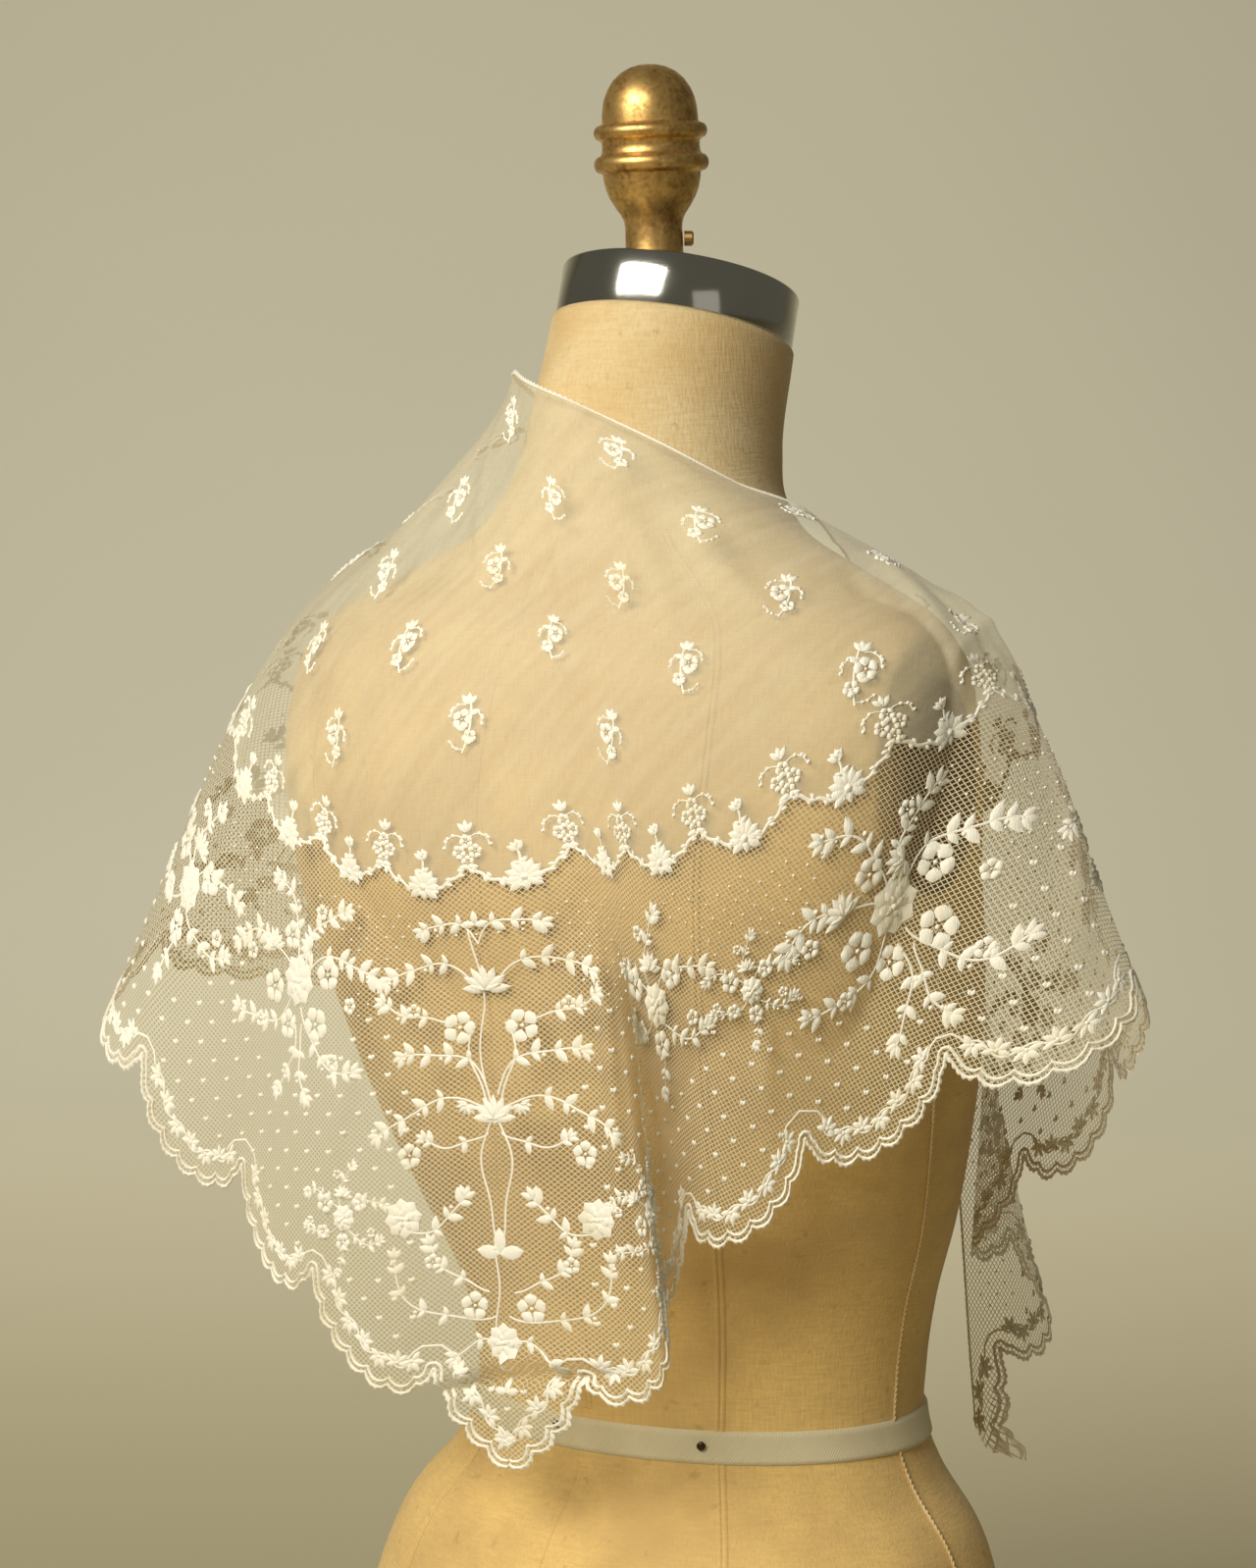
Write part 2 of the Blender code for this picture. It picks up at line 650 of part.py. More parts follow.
def make_pin(name, turn, height, finish):
    """The head of a pin through the tape, at a turn from the centre back."""
    centre, width, back, _ = form_level(np.array(TAPE_HEIGHT))
    out = TAPE_THICKNESS + 4 * SEAM
    place = np.array([width * math.sin(turn), back * math.cos(turn), 0.0])
    outward = np.array([place[0] / width**2, place[1] / back**2, 0.0])
    outward /= np.linalg.norm(outward)
    start = place + outward * out + np.array([0.0, centre, height])
    side = np.array([-outward[1], outward[0], 0.0])
    up = np.array([0.0, 0.0, 1.0])
    around = np.linspace(0, 2 * math.pi, 10, endpoint=False)
    circle = np.cos(around)[:, None] * side + np.sin(around)[:, None] * up
    turns = [(0.0, PIN_RADIUS), (PIN_LENGTH * 0.6, PIN_RADIUS), (PIN_LENGTH, PIN_RADIUS / 2)]
    rings = [start + outward * run + circle * radius for run, radius in turns]
    return ring_mesh(name, rings, finish)


def make_arm_plate(name, side, finish):
    """The flat oval plate that closes one armhole, with a chamfered rim."""
    turn = np.linspace(0, 2 * math.pi, 28, endpoint=False)
    steps = [
        (0.0, 0.0),
        (PLATE_THICKNESS - PLATE_CHAMFER / 2, 0.0),
        (PLATE_THICKNESS, PLATE_CHAMFER),
    ]
    rings = []
    for out, shrink in steps:
        x = np.full(turn.shape, side * (ARMHOLE_PLANE + SEAM + out))
        y = PLATE_BACK + (PLATE_HALF_DEPTH - shrink) * np.cos(turn)
        z = PLATE_HEIGHT + (PLATE_HALF_HEIGHT - shrink) * np.sin(turn)
        rings.append(np.stack([x, y, z], axis=-1))
    return ring_mesh(name, rings, finish)


def main():
    """Builds the kerchief and the form that it is worn on."""
    clear_scene()
    mull = material("mull", (0.86, 0.83, 0.74), 0.75)
    net = material("net", (0.84, 0.80, 0.68), 0.80)
    cord = material("corded_edging", (0.90, 0.88, 0.80), 0.70)
    canvas = material("canvas", (0.62, 0.47, 0.26), 0.85)
    plate = material("arm_plate_board", (0.34, 0.27, 0.17), 0.80)
    steel = material("polished_steel", (0.72, 0.72, 0.70), 0.12, 1.0)
    gilt = material("gilt_bronze", (0.55, 0.36, 0.13), 0.38, 1.0)
    tape = material("cotton_tape", (0.80, 0.76, 0.62), 0.80)
    pin = material("pin_steel", (0.16, 0.13, 0.10), 0.35, 1.0)
    wood = material("base_wood", (0.30, 0.18, 0.09), 0.60)

    make_field(mull)
    make_border("kerchief_border_left", 1, net)
    make_border("kerchief_border_right", -1, net)
    make_neck_edging(cord)
    make_torso(canvas)
    make_base(wood)
    make_neck_band(steel)
    make_finial(gilt)
    make_screw(gilt)
    make_waist_tape(tape)
    make_pin("form_pin_back", math.radians(-30), TAPE_HEIGHT + 0.001, pin)
    make_pin("form_pin_left_back", math.radians(8), TAPE_HEIGHT + 0.003, pin)
    make_arm_plate("form_arm_plate_left", 1, plate)
    make_arm_plate("form_arm_plate_right", -1, plate)


if __name__ == "__main__":
    main()
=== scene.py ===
# %% [markdown]
# # A lace kerchief on a dress form
# The kerchief is a sheer triangle of muslin with a deep border of net, worked
# with white flowers. It is too thin to stand by itself, so it is shown as it
# is worn, over the shoulders of a limbless form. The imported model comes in
# first and stays where it is: every new piece is worked out in its space.

# %% Load the frame
import math
from collections import namedtuple

import bpy
import numpy as np
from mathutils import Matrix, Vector

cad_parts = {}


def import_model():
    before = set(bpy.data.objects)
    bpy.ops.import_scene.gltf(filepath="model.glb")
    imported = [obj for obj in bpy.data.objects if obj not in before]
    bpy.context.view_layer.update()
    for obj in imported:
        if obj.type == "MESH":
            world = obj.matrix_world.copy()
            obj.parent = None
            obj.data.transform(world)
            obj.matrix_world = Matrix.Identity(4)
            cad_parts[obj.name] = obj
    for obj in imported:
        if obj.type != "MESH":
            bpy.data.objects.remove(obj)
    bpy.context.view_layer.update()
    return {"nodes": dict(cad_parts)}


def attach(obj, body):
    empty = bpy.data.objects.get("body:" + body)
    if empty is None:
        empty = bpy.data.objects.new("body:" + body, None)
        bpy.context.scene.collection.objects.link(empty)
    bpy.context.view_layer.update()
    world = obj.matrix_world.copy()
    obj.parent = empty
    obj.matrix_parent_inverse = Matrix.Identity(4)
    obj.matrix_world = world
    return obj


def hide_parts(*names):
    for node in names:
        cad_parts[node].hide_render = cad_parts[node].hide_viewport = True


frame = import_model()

MM = 0.001

# %% [markdown]
# ## Surfaces from grids
# Cloth, canvas and turned metal can all be modelled by hand, but each of them
# follows a rule, so a grid of two parameters says it best. One function turns
# any grid of points into a mesh, with a map of where each point was cut.

# %% Grids to meshes
def new_object(name, points, faces, finish, cut=None):
    """An object from points and faces; cut holds each point's flat place."""
    mesh = bpy.data.meshes.new(name)
    mesh.from_pydata(points.reshape(-1, 3), [], faces)
    mesh.shade_smooth()
    mesh.materials.append(finish)
    if cut is not None:
        corners = np.empty(len(mesh.loops), np.int32)
        mesh.loops.foreach_get("vertex_index", corners)
        layer = mesh.uv_layers.new(name="cut")
        flat = cut.reshape(-1, 2)[corners].astype(np.float32)
        layer.data.foreach_set("uv", flat.ravel())
    made = bpy.data.objects.new(name, mesh)
    bpy.context.scene.collection.objects.link(made)
    return made


def grid_faces(rows, columns, closed=False):
    """Quads between neighbours of a grid, round to the start if it is closed."""
    wide = columns if closed else columns - 1
    row, column = np.meshgrid(np.arange(rows - 1), np.arange(wide), indexing="ij")
    here = row * columns + column
    there = row * columns + (column + 1) % columns
    quads = np.stack([here, there, there + columns, here + columns], axis=-1)
    return quads.reshape(-1, 4)


def grid_object(name, points, finish, cut=None, closed=False):
    """An object from a grid of points, row by row."""
    faces = grid_faces(points.shape[0], points.shape[1], closed)
    return new_object(name, points, faces, finish, cut)


def smooth_rows(keys, values, at):
    """Values on a smooth curve through rows; each stretch is a cubic whose
    slope at a row is the slope between that row's two neighbours."""
    keys, values = np.asarray(keys, float), np.asarray(values, float)
    slopes = np.gradient(values, keys, axis=0)
    at = np.clip(np.asarray(at, float), keys[0], keys[-1])
    row = np.clip(np.searchsorted(keys, at, side="right") - 1, 0, len(keys) - 2)
    span = (keys[row + 1] - keys[row])[..., None]
    s = (at - keys[row])[..., None] / span
    start = (1 + 2 * s) * (1 - s) ** 2 * values[row]
    end = s**2 * (3 - 2 * s) * values[row + 1]
    bend = s * (1 - s) ** 2 * slopes[row] + s**2 * (s - 1) * slopes[row + 1]
    return start + end + bend * span


# %% [markdown]
# ## The form's own shape
# A dress form is a stack of rounded sections, wider behind or in front as a
# body is. The same short table that gave the solid its sections gives the
# canvas its surface, and later keeps the cloth clear of it.

# %% The form's sections
def in_metres(kind, rows):
    """A table's rows, written in millimetres, with shares in thousandths."""
    return [kind(*(value / 1000 for value in row)) for row in rows]


Level = namedtuple("Level", "height centre half_width half_back half_front")
FORM_LEVELS = in_metres(Level, [
    (12.3, 4, 160, 120, 112), (60, 8, 167, 126, 114), (120, 10, 165, 123, 113),
    (182, 8, 158, 117, 109), (218, 4, 143, 105, 102), (244, 1, 121, 90, 92),
    (264, 0, 112, 85, 87), (288, 0, 112, 85, 89), (319, 3, 118, 88, 94),
    (360, 13, 134, 96, 106), (400, 26, 147, 101, 121), (440, 38, 157, 104, 134),
    (480, 49, 166, 106, 134), (520, 57, 173, 106, 122), (560, 60, 178, 103, 110),
    (590, 59, 177, 97, 100), (615, 57, 170, 88, 91), (632, 54, 153, 78, 81),
    (648, 50, 120, 69, 71), (664, 45, 85, 63, 64), (682, 40, 66, 58.5, 60),
    (710, 33.5, 57.5, 55.5, 57), (754.5, 20, 54.5, 54.5, 54.5),
])
NECK_TOP = FORM_LEVELS[-1].height
NECK_LEAN = math.radians(14.6)
LEAN_STARTS = 0.660
LEAN_GROWS = 0.060
ARMHOLE_PLANE = 0.164
ARMHOLE_FROM = 0.400
CLEARING_ROUNDS, CLEARING_STEP = 4, 0.5 * MM


def form_level(height):
    """Centre, half width, half back and half front at each height."""
    keys = [level.height for level in FORM_LEVELS]
    return smooth_rows(keys, [level[1:] for level in FORM_LEVELS], height)


def neck_slope(height):
    """How much a ring of the form rises towards the back, at each height."""
    return math.tan(NECK_LEAN) * np.clip((height - LEAN_STARTS) / LEAN_GROWS, 0, 1)


def form_points(turn, height, out=0.0):
    """The form's surface, moved out sideways: an ellipse at each height, with
    its own depth behind and in front, flat at the armholes. turn is the angle
    from the centre back towards the form's left."""
    centre, width, back, front = np.moveaxis(form_level(height), -1, 0)
    x = (width + out) * np.sin(turn)
    flat = ARMHOLE_PLANE + out
    x = np.where(height > ARMHOLE_FROM, np.clip(x, -flat, flat), x)
    y = (np.where(np.cos(turn) > 0, back, front) + out) * np.cos(turn)
    return np.stack([x, y + centre, height + neck_slope(height) * y], axis=-1)


def form_reach(points):
    """How far out each point lies, in units of the form's own section there."""
    centre = form_level(points[..., 2])[..., 0]
    height = points[..., 2] - neck_slope(points[..., 2]) * (points[..., 1] - centre)
    centre, width, back, front = np.moveaxis(form_level(height), -1, 0)
    along = points[..., 1] - centre
    depth = np.where(along > 0, back, front)
    return np.hypot(points[..., 0] / width, along / depth)


def clear_of_form(points, gap):
    """Points moved out along the form's slope until they clear it by a gap."""
    points, step = points.copy(), CLEARING_STEP
    for _ in range(CLEARING_ROUNDS):
        reach = form_reach(points)
        slope = np.empty_like(points)
        for axis in range(3):
            moved = points.copy()
            moved[..., axis] += step
            slope[..., axis] = (form_reach(moved) - reach) / step
        steep = np.linalg.norm(slope, axis=-1)
        short = np.clip(gap - (reach - 1.0) / steep, 0.0, 20 * MM)
        points += slope / steep[..., None] * short[..., None]
    return points


# %% [markdown]
# ## How the kerchief is cut and how it falls
# Flat, the kerchief is a triangle with slightly bowed legs. Its long edge
# goes round the neck and down the fronts. A fall line runs from a place on
# the neck edge, over the shoulder, to a place on the hem. The table says
# where each line starts, turns and ends in space, and what small wrinkles take
# up. The line keeps its flat length, so that the cloth is not stretched.

# %% The cut and the fall lines
NECK_EDGE_HALF = 0.640
CORNER_DEPTH = 0.522
HEM_BOW = 1.08
FIELD_HALF = 0.340
FIELD_DEPTH = 0.262
FIELD_BOW = 1.70
WALL = 1.2 * MM
CLEARANCE = 2.2 * MM
LOBES_A_SIDE = 10
SCALLOPS_A_LOBE = 6
LOBE_DEPTH = 24 * MM
SCALLOP_DEPTH = 3.5 * MM

Fall = namedtuple(
    "Fall",
    "neck_at hem_at neck_x neck_y neck_z turn_x turn_y turn_z foot_x foot_y taken",
)
FALLS = in_metres(Fall, [
    (-630, -985, -78, -118, 240, -84, -119, 229, -94, -120, 0),
    (-440, -880, -64, -112, 440, -88, -120, 390, -108, -132, 0),
    (-330, -805, -64, -88, 550, -98, -98, 470, -88, -97, 0),
    (-250, -745, -70, -40, 614, -118, -74, 536, -124, -92, 4),
    (-170, -650, -86, 25, 669, -167, -10, 616, -206, -36, 20),
    (-125, -555, -66, 64, 688, -182, 36, 635, -248, 16, 28),
    (-95, -455, -43, 85, 704, -157, 92, 632, -190, 72, 24),
    (-60, -330, -6, 95, 721, -118, 136, 610, -122, 106, 6),
    (-36, -200, 19, 91.5, 729, -80, 155, 590, -66, 113, 6),
    (-20, -110, 34, 84, 733, -52, 163, 580, -90, 150, 14),
    (0, 0, 50, 71, 737, -4, 166, 577, 4, 134, 8),
    (22, 150, 61, 59, 736, 64, 160, 580, 108, 150, 6),
    (50, 310, 68, 40, 730, 139, 134, 607, 180, 156, 8),
    (85, 420, 66, 10, 714, 190, 75, 636, 240, 136, 8),
    (115, 510, 55, -22, 693, 186, 20, 634, 248, 35, 10),
    (165, 620, 38, -55, 642, 130, -50, 594, 180, -82, 4),
    (270, 760, 45, -92, 545, 90, -104, 480, 118, -112, 0),
    (430, 900, 55, -110, 390, 75, -116, 340, 90, -120, 0),
    (620, 985, 66, -116, 215, 70, -117, 209, 75, -118, 0),
])
FALL_KEYS = [fall.hem_at for fall in FALLS]
HEM_END = FALLS[-1].hem_at
TURN_SOFTNESS = 0.085
SHORTEST_FALL = 30 * MM
LEAST_BELOW_TURN, LEAST_DROP = 0.3, 0.2

Fold = namedtuple("Fold", "hem_at half_width height starts")
FOLDS = in_metres(Fold, [
    (800, 55, 12, 300), (560, 50, -16, 450), (350, 45, 12, 500), (235, 50, -12, 450),
    (75, 40, 8, 550), (-270, 50, 10, 450), (-390, 50, -12, 400), (-510, 40, 14, 500),
    (-605, 40, -14, 400),
])

Crease = namedtuple("Crease", "a_from b_from a_to b_to half_width height")
CREASES = in_metres(Crease, [
    (20, 30, -9, 250, 4.5, 1.6), (-4, 120, -14, 262, 4, -1.4),
    (52, 30, 140, 160, 10, 2.6), (36, 50, 88, 190, 8, 2), (100, 40, 190, 150, 9, 3),
    (-60, 30, -118, 180, 9, 2.4), (-105, 45, -172, 165, 8, 2.6),
    (-30, 60, -62, 215, 6, 1.6), (-190, 62, -236, 168, 6.5, 3.4),
    (-206, 58, -252, 142, 5, -3), (-218, 50, -268, 124, 6, 3.4),
    (-176, 80, -214, 182, 5, -2.4), (-244, 70, -226, 150, 4.5, 2),
    (196, 50, 248, 150, 6.5, 3.2), (214, 46, 262, 128, 5, -2.8),
    (-48, 258, -66, 470, 4.5, 3), (-88, 250, -112, 440, 6, -3),
    (48, 493, -54, 473, 2.6, -5.6), (44, 486, -50, 467, 2.4, 3.6),
    (60, 270, 92, 430, 7, 2.6), (20, 280, 28, 420, 5, 1.4), (150, 215, 232, 330, 7, 3),
    (240, 160, 330, 240, 8, -3), (-160, 210, -208, 330, 6, 2.6),
    (-262, 140, -330, 230, 7, 3), (-300, 80, -400, 160, 7, 3),
    (310, 50, 420, 140, 8, 3), (-410, 20, -500, 80, 5, 2.2), (440, 20, 540, 60, 5, 2.2),
])


def crease_rise(places):
    """How far creases lift the cloth: a bell across each, which wanders a
    little, tapered to nothing at its two ends along a sine."""
    rise = np.zeros(places.shape[:-1])
    for crease in CREASES:
        way = np.array([crease.a_to - crease.a_from, crease.b_to - crease.b_from])
        length = math.hypot(*way)
        da, db = places[..., 0] - crease.a_from, places[..., 1] - crease.b_from
        share = np.clip((da * way[0] + db * way[1]) / length**2, 0, 1)
        wander = crease.half_width * 0.7 * np.sin(5 * share + 60 * crease.a_from)
        off = (da * way[1] - db * way[0]) / length - wander
        bell = np.exp(-((off / crease.half_width) ** 2))
        rise += crease.height * bell * np.sin(math.pi * share) ** 0.7
    return rise


def bowed_leg(half, depth, bow):
    """Points along a bowed triangle's leg and the run to each of them: from
    (0, depth) to (half, 0), where (a/half)^bow + (b/depth)^bow is 1."""
    turn = np.linspace(0, math.pi / 2, 4001)
    a = half * np.sin(turn) ** (2 / bow)
    b = depth * np.cos(turn) ** (2 / bow)
    steps = np.hypot(np.diff(a), np.diff(b))
    return a, b, np.concatenate([[0], np.cumsum(steps)])


HEM_A, HEM_B, HEM_RUN = bowed_leg(NECK_EDGE_HALF, CORNER_DEPTH, HEM_BOW)
HEM_LEG = HEM_RUN[-1]


def flat_fall(hem_at):
    """Flat start and end of each fall line."""
    rows = [[fall.neck_at] for fall in FALLS]
    start = smooth_rows(FALL_KEYS, rows, hem_at)[..., 0]
    run = np.abs(hem_at) * HEM_LEG
    foot_a = np.interp(run, HEM_RUN, HEM_A) * np.sign(hem_at)
    foot = np.stack([foot_a, np.interp(run, HEM_RUN, HEM_B)], axis=-1)
    return np.stack([start, np.zeros_like(start)], axis=-1), foot


def flat_place(hem_at, t):
    """Where a place of the worn cloth lies in the flat cut."""
    start, foot = flat_fall(np.asarray(hem_at))
    return start + (foot - start) * np.asarray(t)[..., None]


def fall_length(hem_at):
    """The flat length of each fall line."""
    start, foot = flat_fall(hem_at)
    return np.maximum(np.linalg.norm(foot - start, axis=-1), SHORTEST_FALL)


def soft_ramp(t, turn):
    """Nought before the turn and rising after it, rounded at the turn."""
    def ramp(x):
        return TURN_SOFTNESS * np.logaddexp(0, (x - turn) / TURN_SOFTNESS)

    return (ramp(t) - ramp(0.0)) * (1 - turn) / (ramp(1.0) - ramp(0.0))


def fall_lines(hem_at, t):
    """The cloth before its folds: a place on each fall line at share t."""
    rows = smooth_rows(FALL_KEYS, [fall[2:] for fall in FALLS], hem_at)
    neck, turn = rows[..., 0:3], rows[..., 3:6]
    start, end = flat_fall(hem_at)
    length = np.linalg.norm(end - start, axis=-1)
    upper = np.linalg.norm(turn - neck, axis=-1)
    taken = rows[..., 8]
    lower = np.maximum(length - upper - taken, LEAST_BELOW_TURN * length)
    out = np.linalg.norm(rows[..., 6:8] - turn[..., 0:2], axis=-1)
    drop = np.sqrt(np.maximum(lower**2 - out**2, (LEAST_DROP * lower) ** 2))
    foot = np.concatenate([rows[..., 6:8], (turn[..., 2] - drop)[..., None]], axis=-1)
    share = (upper + taken) / (upper + taken + lower)
    after = soft_ramp(t, share)[..., None]
    share = share[..., None]
    before = t[..., None] - after
    return neck + (turn - neck) * before / share + (foot - turn) * after / (1 - share)


def grid_normals(points):
    """Unit normals of a grid of points, from its own slopes both ways."""
    normal = np.cross(np.gradient(points, axis=1), np.gradient(points, axis=0))
    return normal / np.maximum(np.linalg.norm(normal, axis=-1), 1e-12)[..., None]


# %% The whole cloth on one fine grid
SHEET_COLUMNS = 1201
SHEET_ROWS = 361
T_LOW, T_HIGH = -0.20, 1.20
SHEET_H = np.linspace(-HEM_END, HEM_END, SHEET_COLUMNS)
SHEET_T = np.linspace(T_LOW, T_HIGH, SHEET_ROWS)


def folded_sheet():
    """The cloth with its folds, set clear of the form, on the fine grid. Each
    fold is a bell across and grows towards the hem, along the normal."""
    hem_at, t = np.meshgrid(SHEET_H, SHEET_T)
    places = fall_lines(hem_at, t)
    rise = np.zeros(hem_at.shape)
    for fold in FOLDS:
        width = fold.half_width * (0.55 + 0.45 * np.clip(t, 0, 1))
        across = np.exp(-(((hem_at - fold.hem_at) / width) ** 2))
        down = np.clip((t - fold.starts) / (1 - fold.starts), 0, None) ** 1.3
        rise += fold.height * across * down
    rise += crease_rise(flat_place(hem_at, t))
    places = places + grid_normals(places) * rise[..., None]
    return clear_of_form(places, CLEARANCE + WALL / 2)


SHEET = folded_sheet()
SHEET_NORMALS = grid_normals(SHEET)
print("cloth grid", SHEET.shape, "lowest point", round(float(SHEET[..., 2].min()), 3))


def sampled(hem_at, t, lift=0.0):
    """Places on the fine grid between its points, moved out by lift."""
    column = (np.asarray(hem_at) + HEM_END) / (2 * HEM_END) * (SHEET_COLUMNS - 1)
    row = (np.asarray(t) - T_LOW) / (T_HIGH - T_LOW) * (SHEET_ROWS - 1)
    column, row = np.broadcast_arrays(column, row)
    column = np.clip(column, 0, SHEET_COLUMNS - 1.001)
    row = np.clip(row, 0, SHEET_ROWS - 1.001)
    i, j = column.astype(int), row.astype(int)
    u, v = (column - i)[..., None], (row - j)[..., None]

    def mixed(grid):
        top = grid[j, i] * (1 - u) + grid[j, i + 1] * u
        return top * (1 - v) + (grid[j + 1, i] * (1 - u) + grid[j + 1, i + 1] * u) * v

    return mixed(SHEET) + mixed(SHEET_NORMALS) * np.asarray(lift)[..., None]


FALL_START, FALL_FOOT = flat_fall(SHEET_H)
HALVINGS = 30


def halved(low, high, early):
    """Where a test turns from true to false, by halving the way to it."""
    for _ in range(HALVINGS):
        middle = (low + high) / 2
        yes = early(middle)
        low, high = np.where(yes, middle, low), np.where(yes, high, middle)
    return low


def worn_place(a, b):
    """The fall line and share of each flat place. It lies on the line where
    the cross product with the line is nought."""
    def between(hem_at, values):
        return np.interp(hem_at, SHEET_H, values)

    def before(hem_at):
        start = between(hem_at, FALL_START[:, 0])
        foot_a, foot_b = (between(hem_at, FALL_FOOT[:, axis]) for axis in (0, 1))
        return (a - start) * foot_b - b * (foot_a - start) > 0

    end = np.full(np.shape(a), HEM_END)
    hem_at = halved(-end, end, before)
    return hem_at, b / between(hem_at, FALL_FOOT[:, 1])


def field_reach(places):
    """1 on the field's edge and less inside it, for places of the flat cut."""
    a, b = np.abs(places[..., 0]), np.maximum(places[..., 1], 0)
    return (a / FIELD_HALF) ** FIELD_BOW + (b / FIELD_DEPTH) ** FIELD_BOW


def field_share(hem_at):
    """The share of each fall line that lies in the field."""
    def inside(share):
        return field_reach(flat_place(hem_at, share)) < 1

    return halved(np.zeros(hem_at.shape), np.ones(hem_at.shape), inside)


def lobes(hem_at):
    """How far the hem lies inside its plain line: nothing at the middle of a
    lobe and the lobe's depth at the notches, with one lobe on the corner."""
    lobe = np.abs(np.cos(math.pi * hem_at * LOBES_A_SIDE)) ** 0.6
    return LOBE_DEPTH * (1 - lobe)


# %% [markdown]
# ## Finishes written as sums
# A procedural material is a small sum over the place on the surface. Wiring
# each node by hand hides that sum, so a thin wrapper round a socket lets the
# finish be written as ordinary Python: an expression adds its own nodes.

# %% A socket that can be added and multiplied
class Signal:
    """A socket of a material's tree; arithmetic on it adds Math nodes."""

    def __init__(self, tree, socket=None):
        self.tree, self.socket = tree, socket

    def node(self, kind, settings=None, sockets=None, out=0):
        """A new node: its settings are set first, then its sockets."""
        made = self.tree.nodes.new(kind)
        for setting, value in (settings or {}).items():
            if setting == "stops":
                set_stops(made.color_ramp, value)
            else:
                setattr(made, setting, value)
        for socket, value in (sockets or {}).items():
            if isinstance(value, Signal):
                self.tree.links.new(value.socket, made.inputs[socket])
            else:
                made.inputs[socket].default_value = value
        return Signal(self.tree, made.outputs[out])

    def math(self, operation, *values):
        """A Math node on values, some of them sockets."""
        sockets = dict(enumerate(values))
        return self.node("ShaderNodeMath", {"operation": operation}, sockets)

    def __add__(self, other):
        return self.math("ADD", self, other)

    def __sub__(self, other):
        return self.math("SUBTRACT", self, other)

    def __rsub__(self, other):
        return self.math("SUBTRACT", other, self)

    def __mul__(self, other):
        return self.math("MULTIPLY", self, other)

    __radd__, __rmul__ = __add__, __mul__

    def ramp(self, low, high, start=0.0, end=1.0):
        """From start at low to end at high, smooth between and flat beyond."""
        settings = {"interpolation_type": "SMOOTHSTEP"}
        sockets = {0: self, 1: low, 2: high, 3: start, 4: end}
        return self.node("ShaderNodeMapRange", settings, sockets)


def set_stops(ramp, stops):
    """Gives a colour ramp its stops: pairs of a place and a colour."""
    while len(ramp.elements) < len(stops):
        ramp.elements.new(0.5)
    for element, (place, colour) in zip(ramp.elements, stops):
        element.position, element.color = place, (*colour, 1.0)


def colour(red, green, blue):
    """A linear colour from the 0 to 255 values that a screen shows."""
    def linear(value):
        share = value / 255
        return share / 12.92 if share <= 0.04045 else ((share + 0.055) / 1.055) ** 2.4

    return linear(red), linear(green), linear(blue)


def blend(mask, low, high):
    """Two colours mixed by a mask; each is a socket or three numbers."""
    ends = [end if isinstance(end, Signal) else (*end, 1.0) for end in (low, high)]
    sockets = {0: mask, 6: ends[0], 7: ends[1]}
    return mask.node("ShaderNodeMix", {"data_type": "RGBA"}, sockets, out=2)


def scaled(vector, x, y, z):
    """A vector with each part multiplied by its own number."""
    sockets = {0: vector, 1: (x, y, z)}
    return vector.node("ShaderNodeVectorMath", {"operation": "MULTIPLY"}, sockets)


def noise(vector, scale, detail=2.0, rough=0.5):
    """Soft noise from 0 to 1, with a scale in waves for each metre."""
    sockets = {"Vector": vector, "Scale": scale, "Detail": detail, "Roughness": rough}
    return vector.node("ShaderNodeTexNoise", None, sockets)


def bumped(height, distance, strength=1.0):
    """A normal from a height in metres times a distance."""
    sockets = {"Height": height, "Distance": distance, "Strength": strength}
    return height.node("ShaderNodeBump", None, sockets)


def dot(vector, direction):
    """How far a vector goes along a direction: their dot product."""
    settings, sockets = {"operation": "DOT_PRODUCT"}, {0: vector, 1: direction}
    return vector.node("ShaderNodeVectorMath", settings, sockets, out=1)


def new_finish(name, **fixed):
    """A material, and the signals for place and cut."""
    made = bpy.data.materials.new(name)
    made.use_nodes = True
    shader = made.node_tree.nodes["Principled BSDF"]
    for socket, value in fixed.items():
        shader.inputs[socket.replace("_", " ")].default_value = value
    start = Signal(made.node_tree)
    place = start.node("ShaderNodeTexCoord", out=3)
    cut = start.node("ShaderNodeTexCoord", out=2)
    return made, place, cut


def feed(made, **signals):
    """The material, with signals linked to the sockets of the same names."""
    shader = made.node_tree.nodes["Principled BSDF"]
    for socket, signal in signals.items():
        signal.tree.links.new(signal.socket, shader.inputs[socket.replace("_", " ")])
    return made


# %% [markdown]
# ## Muslin, net and white thread
# Muslin is an open plain weave, so light comes through between its threads,
# unevenly, as some threads are thicker. Net is a mesh of twisted thread.
# Both holes are cut by the material's alpha, read on the flat cut, so that
# they bend and shade with the cloth.

# %% The cloth finishes
MESH_PITCH, MESH_SLANT = 1.9 * MM, math.radians(52)
CREAM = colour(236, 226, 190)
NET_CREAM = colour(226, 212, 172)
THREAD_WHITE = colour(253, 248, 230)


